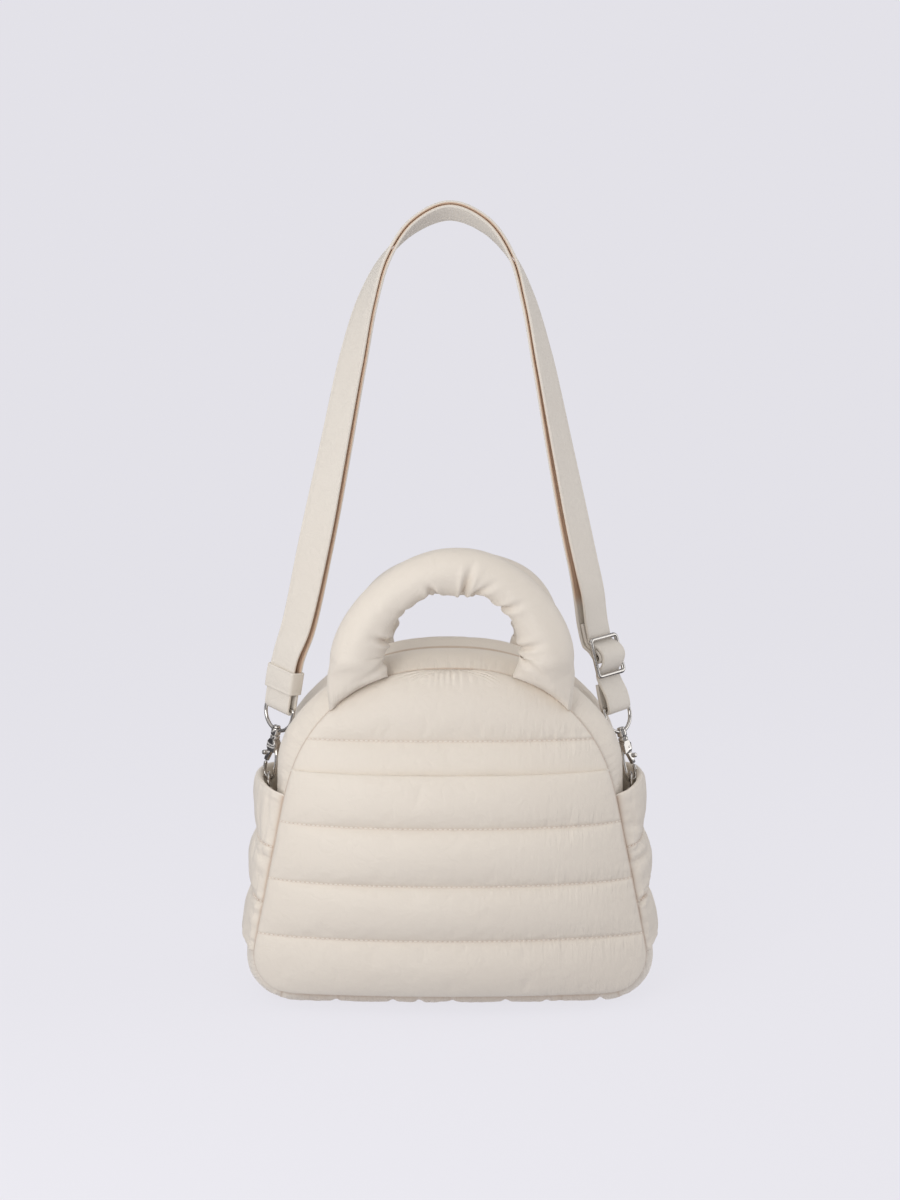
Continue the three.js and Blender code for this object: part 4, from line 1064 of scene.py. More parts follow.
def make_side_pocket(where, side):
    name = "side_pocket_%s_quilt" % where
    heights, seam_rows = rows_between(SIDE_SEAMS, [SPACING] * 3)
    rows = len(heights) - 1

    def place(across):
        return across_strip((across + 1) / 2)

    def height_at(t, row):
        z = heights[row]
        top_share = smooth(z, SIDE_SEAMS[-2], SIDE_SEAMS[-1])
        return z - SIDE_MOUTH_DIP * top_share * (1 - strip_profile(t)) ** 1.2

    def shape(across, row, depth):
        t = place(across)
        z = heights[row]
        d = distance_at_height(height_at(t, row))
        channel, c = channel_at(SIDE_SEAMS, z)
        c = np.where(channel == len(SIDE_SEAMS) - 2, c * OPEN_EDGE, c)
        stand = np.interp(z, SIDE_STAND_Z, SIDE_STAND_OUT)
        tucked = SIDE_TUCK * (1 - smooth(from_strip_edge(t), 0, 4))
        tucked += FOOT_TUCK * (1 - smooth(z, SIDE_SEAMS[0], SIDE_SEAMS[0] + 5))
        inside = gusset_out(d, t) + GAP + stand * strip_profile(t) - tucked
        puff = 0.95 * PUFF["side"] * channel_profile(c) * fullness(across, z, 31.0 * side)
        outside = inside + EDGE + puff * strip_profile(t)
        points = strip_points(side * d, t, (1 - depth) * outside + depth * inside, SIDE_LAP)
        points[:, 2] += np.where(row == rows, 1.2 * np.sin(math.pi * depth), 0)
        return points

    def flat(across, row):
        return strip_cut(distance_at_height(heights[row]), place(across))

    piece, across, row, depth = padded_slab(name, SIDE_COLUMNS, rows, shape, flat, rim_cuts=3)
    z = heights[row]
    sewn = (depth > SKIN) | (np.abs(across) > 0.999) | (row == 0)
    for r in seam_rows[:-1]:
        sewn |= row == r
    puff_up(piece, sewn, slack=0.03, limit=2.5)
    t = place(across)
    away = away_from(SIDE_SEAMS[:-1], z)
    edge = from_strip_edge(t)
    free = (depth < SKIN) & ~sewn
    ripple = 0.9 * gathers(t * 2 * SIDE_DEPTH, away, pitch=8.0, reach=8.0, shift=41.0 * side)
    ripple += 1.2 * gathers(z, edge, pitch=9.0, reach=11.0, shift=53.0 * side)
    # Painted shade: darker cloth along the quilting seams and the pocket's edges
    tone = np.maximum(1 - away / 2.2, 1 - edge / 1.8)
    for crease_side, low, deep, slant, reach in SIDE_CREASES:
        if crease_side == side:
            off = (z - low - slant * edge) / 2.0
            fading = fade(edge, reach)
            ripple += deep * fading * crease_section(off, 0.45)
            # Painted shade down in each crease
            tone = np.maximum(tone, 0.22 * deep * fading * np.exp(-2 * off**2))
    raise_by(piece, np.where(free, ripple, 0))
    mark_skin(piece, "painted_shade", tone, depth)
    mark_skin(piece, "drawn", 0.5 * fade(away, 9), depth)
    place_padded(piece, "side_pocket_" + where)
    stitch(name + "_stitches", piece, skin_lines(seam_rows[1:-1], across, row, depth), (side, 0, 0))


make_gusset()
make_zip_strip("front")
make_zip_strip("back")
make_zip_chain()
make_side_pocket("left", -1)
make_side_pocket("right", 1)


# Handles: padded tubes whose feet are tucked into the panel seams
FOOT = {"middle": 62.0, "half_wide": 23.0, "half_thick": 6.5, "forward": 7.0, "lift": 0.7, "rise": 6.0}
TUCK = {"half_thick": 1.0, "forward": 1.8, "until": 0.3}
LEG = {"share": 0.25, "half_wide": 21.0, "half_thick": 9.5}
TUBE = {"top": 15.8, "leg": 18.2}
TUBE_CORNERS = 48
ARCH_ROWS = 74
LEG_ROWS = 22
# Creases of the handles: side, place along the half path, depth, slant, and reach round the tube
FRONT_CREASES = [
    (-1, 0.86, 2.8, 0.2, 1.7),
    (-1, 0.8, 1.8, -0.25, 1.5),
    (1, 0.94, 3.6, -0.12, 2.5),
    (1, 0.87, 2.2, -0.5, 2.1),
    (1, 0.68, 3.4, -0.4, 2.0),
    (-1, 0.45, 4.0, 0.1, 1.5),
    (1, 0.4, 2.6, -0.1, 1.7),
    (1, 0.32, 2.0, -0.7, 1.9),
    (-1, 0.66, 1.2, 0.4, 1.5),
    (-1, 0.2, 1.8, 0.5, 1.6),
]
BACK_CREASES = [
    (-1, 0.8, 2.8, 0.3, 1.9),
    (1, 0.9, 2.6, -0.2, 2.0),
    (1, 0.5, 3.0, -0.3, 1.8),
    (-1, 0.5, 1.2, 0.2, 1.7),
]
ARCH_EASE = 25.0  # the larger, the rounder the top of a handle's arch
INNER_DRAW = 5.0  # by which the gathered inner side of a handle's shoulders is drawn in


# Each handle: its half span and arch, its lean outwards and sway to the right, and how far its legs close
HANDLES = {
    "front": {
        "side": -1,
        "span": 63.0,
        "spring": 241.0,
        "top": 297.0,
        "power": 1.6,
        "lean": 3.0,
        "sway": 5.0,
        "closer": 0.0,
        "creases": FRONT_CREASES,
    },
    "back": {
        "side": 1,
        "span": 65.0,
        "spring": 236.0,
        "top": 283.0,
        "power": 2.0,
        "lean": 2.0,
        "sway": 9.0,
        "closer": 5.0,
        "creases": BACK_CREASES,
    },
}


# Height at which the panel seam is as wide as the middles of the feet
def foot_height():
    heights = np.linspace(WAIST_Z, APEX_Z - 1, 900)
    return float(np.interp(-FOOT["middle"], -half_width(heights), heights))


FOOT_Z = foot_height()
LEG_Z = FOOT_Z + FOOT["rise"]
TUBE_ANGLES = 2 * math.pi * np.arange(TUBE_CORNERS) / TUBE_CORNERS


# Ring of a foot along the panel seam, with its own thickness and place in front of the seam
def foot_ring(side, sign, shape):
    along = distance_at_height(FOOT_Z) - FOOT["half_wide"] * np.cos(TUBE_ANGLES)
    x, z, out_x, out_z = outline_at(along)
    depth = seam_depth(x, z) + shape["forward"] + shape["half_thick"] * np.sin(TUBE_ANGLES)
    return np.column_stack([sign * (x + FOOT["lift"] * out_x), side * depth, z + FOOT["lift"] * out_z])


# Middle line of a handle as seen from the front: share runs from the foot to the top of the arch
def handle_line(handle, share):
    span, spring, top, power = (handle[key] for key in ("span", "spring", "top", "power"))
    drawn = handle["closer"] * smooth(share, 0.02, 0.2) * (1 - smooth(share, 0.4, 0.75))
    if share < LEG["share"]:
        leg = share / LEG["share"]
        x = FOOT["middle"] + (span - FOOT["middle"]) * leg - drawn
        return np.array([x, LEG_Z + (spring - LEG_Z) * leg])
    bend = (share - LEG["share"]) / (1 - LEG["share"]) * math.pi / 2
    x = span * max(0.0, math.cos(bend)) ** (2 / power)

    def fall(reach):
        return (reach**2 + ARCH_EASE**2) ** (power / 2) - ARCH_EASE**power

    return np.array([x - drawn, spring + (top - spring) * max(0.0, 1 - fall(x) / fall(span)) ** (1 / power)])


# One ring of a handle
def handle_ring(handle, sign, share):
    foot_depth = float(seam_depth(FOOT["middle"], LEG_Z)) + FOOT["forward"]
    rounded = float(smooth(share / LEG["share"], 0.0, 1.0))
    x, z = handle_line(handle, share)
    climb = unit(handle_line(handle, min(1.0, share + 0.01)) - handle_line(handle, max(0.0, share - 0.01)))
    radius = TUBE["leg"] + (TUBE["top"] - TUBE["leg"]) * share
    wide = LEG["half_wide"] + (radius - LEG["half_wide"]) * rounded
    thick = LEG["half_thick"] + (radius - LEG["half_thick"]) * rounded
    draw = INNER_DRAW * smooth(share, 0.4, 0.6) * (1 - smooth(share, 0.78, 0.95))
    out = wide * np.cos(TUBE_ANGLES) + draw * np.maximum(0, -np.cos(TUBE_ANGLES)) ** 2
    y = handle["side"] * (foot_depth + handle["lean"] * share + thick * np.sin(TUBE_ANGLES))
    return np.column_stack([sign * (x + out * climb[1]) + handle["sway"] * share, y, z - out * climb[0]])


# Rings of a handle from its right foot to its left one, and the shares of the half path that they stand at
def handle_rings(handle):
    leg = np.linspace(0, LEG["share"], LEG_ROWS)
    arch = np.linspace(LEG["share"], 1, ARCH_ROWS)[1:]
    shares = np.concatenate([leg, arch])

    def half(sign):
        tucked = foot_ring(handle["side"], sign, TUCK)
        full = foot_ring(handle["side"], sign, FOOT)
        rings = []
        for share in shares:
            climb = share / LEG["share"]
            foot = tucked + (full - tucked) * min(1.0, climb / TUCK["until"]) ** 0.5
            rings.append(foot + (handle_ring(handle, sign, share) - foot) * smooth(climb, 0.0, 0.55))
        return rings

    return np.array(half(1) + half(-1)[-2::-1]), shares


def make_handle(where, handle):
    side = handle["side"]
    rings, shares = handle_rings(handle)
    run = run_along(rings.mean(axis=1))

    def flat(corner, row):
        return np.column_stack([corner * 2 * math.pi * TUBE["top"] / TUBE_CORNERS, run[row]])

    piece, corner, row = swept("handle_%s_padded" % where, rings, flat)
    sewn = np.minimum(row, len(rings) - 1 - row) == 0
    puff_up(piece, sewn, slack=0.02, limit=1.4, frames=12)
    angle = 2 * math.pi * corner / TUBE_CORNERS
    reach = np.minimum(run[row], run[-1] - run[row])
    ripple = 0.9 * gathers(angle * TUBE["leg"], reach - 3, pitch=9.0, reach=9.0, shift=61.0 * side)
    from_inside = np.abs(angle - math.pi)
    inner = 1 - smooth(from_inside, 0.3, 1.6)
    everywhere = np.zeros_like(angle)
    ripple += 0.15 * inner * gathers(run[row], everywhere, pitch=13.0, reach=9.0, shift=71.0 * side)
    # Painted shade: darker cloth at the feet, where they go into the panel seams
    tone = 0.9 * np.clip(1 - reach / 2.5, 0, 1)
    for sign, share, deep, slant, around in handle["creases"]:
        at = np.interp(share, shares, run[: len(shares)])
        if sign < 0:
            at = run[-1] - at
        off = (run[row] - at - slant * from_inside * TUBE["top"]) / 2.3
        fading = 1 - smooth(from_inside, 0.3 * around, around)
        ripple += deep * fading * crease_section(off, 0.4)
        # Painted shade down in each crease
        tone = np.maximum(tone, 0.2 * deep * fading * np.exp(-2 * off**2))
    raise_by(piece, np.where(sewn, 0, ripple))
    mark(piece, "painted_shade", tone)
    mark(piece, "drawn", 0.7 * np.maximum(fade(reach, 14), 0.5 * inner))
    place_padded(piece, "handle_" + where)


for where, handle in HANDLES.items():
    make_handle(where, handle)


# Strap, doubled through the hooks and the slider, on a line that stands up in a loop
STRAP = {"wide": 25.0, "thick": 2.4}
PLY = {"close": 1.42, "open": 2.9}
RING = {"x": 126.2, "z": 144.0, "radius": 6.5, "wire": 1.1, "corner_wide": 1.8, "corner_high": 1.2}
TAB = {"wide": 8.0, "thick": 1.2, "low_z": 125.5}
EYE = {"half": 14.4, "shoulder": 5.0, "drop": 18.0, "wire": 1.3, "corner": 1.6}
KEEPER = {"from": 11.0, "to": 27.0, "thick": 1.3}
SLIDER = {"from_eye": 36.0, "half": 13.0, "wire": 1.3, "frame": 1.5, "corner": 2.4, "above": 3.0}
FLAP = {"upper": 26.0, "lower": 18.0}
SIDES = {
    "left": {"sign": -1, "reach": 49.7, "inward": 8.8, "back": -4.0, "roll": 45.0, "straight": [0, 34]},
    "right": {"sign": 1, "reach": 47.6, "inward": 10.8, "back": 5.0, "roll": 40.0, "straight": [0, 31, 62]},
}
# Middle line of the strap between its straight ends: x, y, z, and the turn of its face
STRAP_LINE = [
    (-104, -6.5, 255, 54),
    (-91.5, -2, 313, 60),
    (-78.5, 0, 375, 50),
    (-66, 0, 436, 42),
    (-55.5, 0, 477, 27),
    (-43, 0, 505.5, 8),
    (-24, 0, 527, -10),
    (0, 0, 536.5, -18),
    (24, 0, 527, -12),
    (42, 0, 505.5, 2),
    (53, 0, 477, 16),
    (63, 0, 436, 28),
    (75.5, 4, 375, 36),
    (88.5, 9, 313, 42),
]


# Smooth line through points, as a batten bends through pins: places, and directions
def batten(points, t):
    points = np.asarray(points, float)
    place = np.clip(t, 0, 1) * (len(points) - 1)
    first = np.minimum(place.astype(int), len(points) - 2)
    share = (place - first)[:, None]
    ends = [2 * points[:1] - points[1:2], points, 2 * points[-1:] - points[-2:-1]]
    p = [np.concatenate(ends)[first + k] for k in range(4)]
    gap = [np.linalg.norm(p[k + 1] - p[k], axis=1, keepdims=True) ** 0.5 for k in range(3)]
    middle = np.where(gap[1] < 1e-4, 1, gap[1])
    before = np.where(gap[0] < 1e-4, middle, gap[0])
    after = np.where(gap[2] < 1e-4, middle, gap[2])
    leave = (p[1] - p[0]) / before - (p[2] - p[0]) / (before + middle) + (p[2] - p[1]) / middle
    arrive = (p[2] - p[1]) / middle - (p[3] - p[1]) / (middle + after) + (p[3] - p[2]) / after
    c1 = leave * middle
    c2 = 3 * (p[2] - p[1]) - (2 * leave + arrive) * middle
    c3 = 2 * (p[1] - p[2]) + (leave + arrive) * middle
    return p[1] + share * (c1 + share * (c2 + share * c3)), c1 + share * (2 * c2 + 3 * share * c3)


def strap_end(side, up):
    lift = math.sqrt(side["reach"] ** 2 - side["inward"] ** 2 - side["back"] ** 2)
    scale = 1 + up / side["reach"]
    x = side["sign"] * (RING["x"] - scale * side["inward"])
    return (x, scale * side["back"], RING["z"] + RING["radius"] + scale * lift, side["roll"])


LEFT_END = [strap_end(SIDES["left"], up) for up in SIDES["left"]["straight"]]
RIGHT_END = [strap_end(SIDES["right"], up) for up in SIDES["right"]["straight"]]
WHOLE_LINE = np.array(LEFT_END + STRAP_LINE + RIGHT_END[::-1], float)
SPINE_PLACES = np.linspace(0, 1, 2400)
SPINE_RUN = run_along(batten(WHOLE_LINE[:, :3], SPINE_PLACES)[0])
SPINE_LENGTH = float(SPINE_RUN[-1])


# Middle, direction, crosswise direction and facing of the strap at distances from the left hook
def strap_frame(distance):
    distance = np.atleast_1d(np.asarray(distance, float))
    held = np.clip(distance, 0, SPINE_LENGTH)
    t = np.interp(held, SPINE_RUN, SPINE_PLACES)
    middle, along = batten(WHOLE_LINE[:, :3], t)
    along = unit(along)
    out = unit(np.cross(along, (0, 1, 0)))
    back = np.cross(out, along)
    rolls = np.column_stack([WHOLE_LINE[:, 3], np.zeros((len(WHOLE_LINE), 2))])
    roll = np.radians(batten(rolls, t)[0][:, :1])
    across = back * np.cos(roll) + out * np.sin(roll)
    face = out * np.cos(roll) - back * np.sin(roll)
    return middle + along * (distance - held)[:, None], along, across, face


def strap_points(distance, height, across):
    middle, _, sideways, face = strap_frame(distance)
    return middle + face * np.asarray(height)[:, None] + sideways * np.asarray(across)[:, None]


def ply_height(distance):
    from_top = np.abs(strap_frame(distance)[0][:, 0]) / 80
    return PLY["close"] + (PLY["open"] - PLY["close"]) * smooth(from_top, 0.65, 1.2)


# Half turn round a bar, as distances and heights
def round_bar(distance, height, radius, forward, first_side):
    radii = (forward * radius, -first_side * radius)
    return arc((distance, height), radii, -math.pi / 3, math.pi / 3, 5)


# The strap's route from the end sewn round the slider's bar, as distances and heights
def strap_route():
    bar = SPINE_LENGTH - SLIDER["from_eye"]
    half = SLIDER["half"]
    step = STRAP["thick"] + GAP
    over_bar = SLIDER["wire"] + GAP + STRAP["thick"] / 2
    eye_turn = EYE["wire"] + 1.5 * GAP + STRAP["thick"] / 2
    top = SLIDER["above"]
    under = top - over_bar - 0.2
    plies = np.arange(KEEPER["to"] + 17, bar - 60, 12.0)
    ply = ply_height(plies)
    end_ply = float(ply_height(bar - 45)[0])
    sewn_at_slider = [
        (bar - FLAP["upper"], under - step - 0.4),
        (bar - half, under - step - 0.4),
        (bar - 9.4, top - 5.4),
        (bar - 5.8, top - 0.8),
        (bar - 3, top + over_bar - 1),
        (bar, top + over_bar),
        *round_bar(bar, top, over_bar, 1, 1),
        (bar, top - over_bar),
        (bar - 5.8, top - 5.6),
        (bar - 9.4, top - 8.9),
        (bar - half, under - 2 * step - 0.9),
        (bar - FLAP["upper"], under - 2 * step - 0.8),
        (bar - 45, -end_ply - 1.4),
    ]
    in_keeper = [KEEPER["from"], (KEEPER["from"] + KEEPER["to"]) / 2, KEEPER["to"]]
    left_turn = [
        *[(d, -eye_turn) for d in in_keeper[::-1]],
        (5, -eye_turn),
        *round_bar(0, 0, eye_turn, -1, -1),
        (5, eye_turn),
        *[(d, eye_turn) for d in in_keeper],
    ]
    through_slider = [
        (bar - 45, end_ply),
        (bar - FLAP["upper"], under + 0.6),
        (bar - half - 3, under),
        (bar - half + 2, under),
        (bar - 5.5, top + step + 0.8),
        (bar, top + over_bar + step),
        (bar + 5.5, top + step + 0.4),
        (bar + half - 2, under),
        (bar + half + 3, under),
    ]
    right_turn = [
        (SPINE_LENGTH - 8, eye_turn),
        *round_bar(SPINE_LENGTH, 0, eye_turn, 1, 1),
        (SPINE_LENGTH - 8, -eye_turn),
        (SPINE_LENGTH - FLAP["lower"], -eye_turn + 0.6),
    ]
    inner_ply = list(zip(plies[::-1], -ply[::-1]))
    outer_ply = list(zip(plies, ply))
    return sewn_at_slider + inner_ply + left_turn + outer_ply + through_slider + right_turn


# Section of a flat band from an edge in: place across as a share, and share of half its thickness
BAND_HALF = [
    (1, 0.0),
    (0.995, 0.45),
    (0.975, 0.8),
    (0.94, 0.95),
    (0.875, 0.98),
    (0.85, 0.86),
    (0.825, 0.98),
    (0.6, 1.0),
    (0.3, 1.0),
]
BAND_TOP = [(-a, s) for a, s in BAND_HALF] + [(0, 1.0)] + BAND_HALF[::-1]
BAND = np.array(BAND_TOP + [(a, -s) for a, s in BAND_TOP[-2:0:-1]])


# Evenly spread places along a smooth route through points in a plane
def along_route(points, spacing):
    line = batten(points, np.linspace(0, 1, len(points) * 30))[0]
    run = run_along(line)
    places = np.linspace(0, run[-1], int(run[-1] / spacing) + 1)
    return points_on(line, run, places), places


def route_normals(spots):
    along = unit(np.gradient(spots, axis=0))
    return np.column_stack([-along[:, 1], along[:, 0]])


def make_strap():
    spots, run = along_route(strap_route(), 2.2)
    side = route_normals(spots)
    half_wide = STRAP["wide"] / 2
    ripples = gathers(run, np.zeros_like(run), pitch=11.0, reach=9.0, shift=83.0)
    from_middle = np.abs(BAND[:, 0])
    near_edge = smooth(from_middle, 0.7, 0.85) * (1 - smooth(from_middle, 0.93, 1))
    rings = []
    for (d, h), (side_d, side_h), ripple in zip(spots, side, ripples):
        s = (BAND[:, 1] * (1 + 0.06 * ripple * near_edge)) * STRAP["thick"] / 2
        rings.append(strap_points(d + s * side_d, h + s * side_h, BAND[:, 0] * half_wide))

    def flat(corner, row):
        return np.column_stack([BAND[corner % len(BAND), 0] * half_wide, run[row]])

    piece, corner, row = swept("strap_band", rings, flat)
    # Painted shade: the faces of the two plies that look in at each other are coloured warm brown, from the
    # keeper to near the slider
    facing_in = np.sign(BAND[corner, 1]) * np.sign(spots[row, 1]) * np.sign(side[row, 1]) < 0
    slider_end = SPINE_LENGTH - SLIDER["from_eye"]
    place = spots[row, 0]
    between = smooth(place, KEEPER["to"] - 6, KEEPER["to"])
    between *= 1 - smooth(place, slider_end - 48, slider_end - 30)
    mark(piece, "painted_shade", np.where(facing_in, 0.95 * between, 0.0))
    place_piece(piece, "strap", strap_cloth)


# Corners of a rectangle rounded off, as points in order
def rounded_box(half_x, half_y, radius, steps):
    points = []
    for k, (sx, sy) in enumerate(((1, 1), (-1, 1), (-1, -1), (1, -1))):
        middle = (sx * (half_x - radius), sy * (half_y - radius))
        points += arc(middle, (radius, radius), k * math.pi / 2, (k + 1) * math.pi / 2, steps)
    return np.array(points)


# Profile of a sleeve's wall from an end in: place along as a share, and share of its thickness
SLEEVE_END = [(0, 0.2), (0.005, 0.7), (0.03, 0.97), (0.08, 1.05), (0.13, 0.85), (0.18, 1.0), (0.4, 1.02)]
SLEEVE_INSIDE = [(0.9, 0), (0.5, 0), (0.1, 0)]
SLEEVE = np.array(SLEEVE_END + [(1 - a, s) for a, s in SLEEVE_END[::-1]] + SLEEVE_INSIDE)


def make_keeper():
    height = EYE["wire"] + 2.5 * GAP + STRAP["thick"]
    across = STRAP["wide"] / 2 + GAP
    long = KEEPER["to"] - KEEPER["from"]
    inside = rounded_box(height, across, 1.4, 6)
    outside = rounded_box(height + KEEPER["thick"], across + KEEPER["thick"], 2.5, 6)
    rings = []
    for inner, outer in zip(inside, outside):
        wall = inner + SLEEVE[:, 1:] * (outer - inner)
        rings.append(strap_points(KEEPER["from"] + SLEEVE[:, 0] * long, wall[:, 0], wall[:, 1]))
    girth = run_along(np.concatenate([outside, outside[:1]]))

    def flat(corner, row):
        return np.column_stack([girth[row], SLEEVE[corner % len(SLEEVE), 0] * long])

    piece = swept("strap_keeper_sleeve", rings, flat, looped=True)[0]
    place_piece(piece, "strap_keeper", strap_cloth)


# Tabs folded over the bottom of each ring
def make_ring_tab(name, side):
    turn = RING["wire"] + GAP + TAB["thick"] / 2
    low = TAB["low_z"] - RING["z"]
    over = arc((0, -RING["radius"]), (turn, turn), math.pi, 0, 9)
    knee = low / 2 - 4
    spots, run = along_route([(-turn, low), (-turn, knee), *over, (turn, knee), (turn, low)], 0.9)
    thick = BAND[:, 1] * TAB["thick"] / 2
    wide = BAND[:, 0] * TAB["wide"] / 2
    rings = []
    for (x, z), (out_x, out_z) in zip(spots, route_normals(spots)):
        from_middle = side["sign"] * RING["x"] + x + thick * out_x
        rings.append(np.column_stack([from_middle, wide, RING["z"] + z + thick * out_z]))

    def flat(corner, row):
        return np.column_stack([wide[corner % len(BAND)], run[row]])

    piece = swept("ring_tab_%s_fold" % name, rings, flat)[0]
    place_piece(piece, "ring_tab_" + name, strap_cloth)


make_strap()
make_keeper()
for side_name, side in SIDES.items():
    make_ring_tab(side_name, side)


# Metal: wires, turned pieces and bevelled plates, in millimetres in a piece's own frame
WIRE_SIDES = 16


# Rounds off edges
def ease_edges(bm, edges, offset, segments):
    bmesh.ops.bevel(
        bm,
        geom=edges,
        offset=offset,
        offset_type="OFFSET",
        segments=segments,
        profile=0.5,
        affect="EDGES",
        material=-1,
    )


# Wire through points that lie in the XZ plane
def add_wire(bm, points, radius, closed=False):
    points = np.asarray(points, float)
    if closed:
        points = np.concatenate([points, points[:1]])
    rows = len(points) - 1
    wire = bmesh.new()
    bmesh.ops.create_grid(wire, x_segments=WIRE_SIDES, y_segments=rows, size=1.0)
    if closed:
        around = np.concatenate([points[-2:-1], points, points[1:2]])
        along = unit(around[2:] - around[:-2])
    else:
        along = unit(np.gradient(points, axis=0))
    for vert in wire.verts:
        angle = math.pi * (vert.co.x + 1)
        row = round((vert.co.y + 1) / 2 * rows)
        (x, z), (dx, dz) = points[row], along[row]
        reach = radius * math.cos(angle)
        vert.co = (x - dz * reach, radius * math.sin(angle), z + dx * reach)
    bmesh.ops.remove_doubles(wire, verts=wire.verts, dist=1e-4)
    if not closed:
        bmesh.ops.holes_fill(wire, edges=wire.edges, sides=0)
        ends = [e for e in wire.edges if any(len(f.verts) > 4 for f in e.link_faces)]
        ease_edges(wire, ends, radius * 0.55, 4)
    take_in(bm, wire)


# Adds the finished shape of one bmesh to another
def take_in(bm, part, place=None):
    bmesh.ops.recalc_face_normals(part, faces=part.faces)
    if place is not None:
        bmesh.ops.transform(part, matrix=place, verts=part.verts)
    mesh = bpy.data.meshes.new("part")
    part.to_mesh(mesh)
    part.free()
    bm.from_mesh(mesh)
    bpy.data.meshes.remove(mesh)


# Turns a profile of pairs of radius and height about Z
def spin_profile(bm, profile, steps, merge):
    verts = [bm.verts.new((radius, 0, height)) for radius, height in profile]
    edges = [bm.edges.new(pair) for pair in zip(verts, verts[1:])]
    if profile[0][0] > 0 and profile[-1][0] > 0:
        edges.append(bm.edges.new((verts[-1], verts[0])))
    bmesh.ops.spin(
        bm,
        geom=verts + edges,
        axis=(0, 0, 1),
        cent=(0, 0, 0),
        angle=2 * math.pi,
        steps=steps,
        use_merge=True,
    )
    bmesh.ops.remove_doubles(bm, verts=bm.verts, dist=merge)


def add_turned(bm, profile, place=None, steps=28):
    part = bmesh.new()
    spin_profile(part, profile, steps, 1e-4)
    take_in(bm, part, place)


# A flat plate with eased edges, from an outline in X and Z, between two places in Y
def add_plate(bm, outline, low, high, ease):
    part = bmesh.new()
    face = part.faces.new([part.verts.new((x, low, z)) for x, z in outline])
    grown = bmesh.ops.extrude_face_region(part, geom=[face], use_keep_orig=True)
    moved = [g for g in grown["geom"] if isinstance(g, bmesh.types.BMVert)]
    bmesh.ops.translate(part, verts=moved, vec=(0, high - low, 0))
    bmesh.ops.recalc_face_normals(part, faces=part.faces)
    ease_edges(part, part.edges[:], ease, 3)
    take_in(bm, part)


# Rod across a hook along Y, with rounded ends
def add_cross_rod(bm, radius, half, x, z, ease):
    turn = arc((radius - ease, half - ease), (ease, ease), math.pi / 2, 0, 5)
    profile = [(0, half), *turn, *[(r, -h) for r, h in turn[::-1]], (0, -half)]
    add_turned(bm, profile, Matrix.Translation((x, 0, z)) @ Matrix.Rotation(math.pi / 2, 4, "X"), 24)


def place_metal(name, bm, place, node, body="bag"):
    bm.transform(Matrix.Diagonal((MM, MM, MM, 1)) @ place)
    piece = finished(name, bm)
    piece.data.set_sharp_from_angle(angle=math.radians(38))
    place_piece(piece, node, nickel, body)


# Frame of a piece that hangs on the strap: Z up along the strap, X across it
def on_strap(distance, height, upward):
    middle, along, across, face = (v[0] for v in strap_frame(distance))
    up = along * upward
    columns = [across, np.cross(up, across), up, middle + face * height]
    return Matrix([[*(float(c[k]) for c in columns)] for k in range(3)] + [[0, 0, 0, 1]])


BOSS = {"radius": 3.4, "hole": 1.9, "top": -16.5, "low": -21.5}
STEM = {"radius": 1.5, "head": 2.7, "head_top": -14.6}
SHANK = {"radius": 2.6, "low": -25.8, "collar": 2.6, "neck": 0.6}
CHEEK = {"near": 1.7, "far": 2.9, "top": -24.5, "top_half": 2.4, "low": -33.5, "half": 4.3, "cut": 2.5}
CROWN_LOW = -26.0
WEB_NEAR = 2.2
PIVOT = {"x": -1.2, "z": -29.5, "pin": 0.9, "hole": 1.25}
LEVER = {"length": 12.6, "tip": 1.5, "head": 2.6, "half": 1.3, "lean": 17.5}
KNOB = {"x": -6.5, "z": -36.4, "radius": 1.7, "half": 3.0}
CLAW_WIRE = 1.35
# Middle line of the claw's wire, from the cheeks round to its tip
CLAW_LINE = [
    (2.9, -30.5),
    (5, -36),
    (5.5, -43),
    (5, -49.5),
    (3, -52.6),
    (0, -53.2),
    (-3, -52.6),
    (-5, -49.5),
    (-5.3, -42.6),
]


def make_hook_eye(name, place):
    bm = bmesh.new()
    half, corner, shoulder = EYE["half"], EYE["corner"], EYE["shoulder"]
    bow = arc((0, -shoulder), (half, EYE["drop"] - shoulder), math.pi, 2 * math.pi, 41)
    right = arc((half - corner, -corner), (corner, corner), 0, math.pi / 2, 7)
    left = arc((corner - half, -corner), (corner, corner), math.pi / 2, math.pi, 7)
    add_wire(bm, bow + right + left, EYE["wire"], closed=True)
    radius, top, low = BOSS["radius"], BOSS["top"], BOSS["low"]
    upper = [(BOSS["hole"], 0), (radius - 0.7, 0), (radius - 0.2, 0.25), (radius, 0.8)]
    add_turned(bm, [(r, top - h) for r, h in upper] + [(r, low + h) for r, h in upper[::-1]])
    place_metal("hook_eye_%s_loop" % name, bm, place, "hook_eye_" + name)


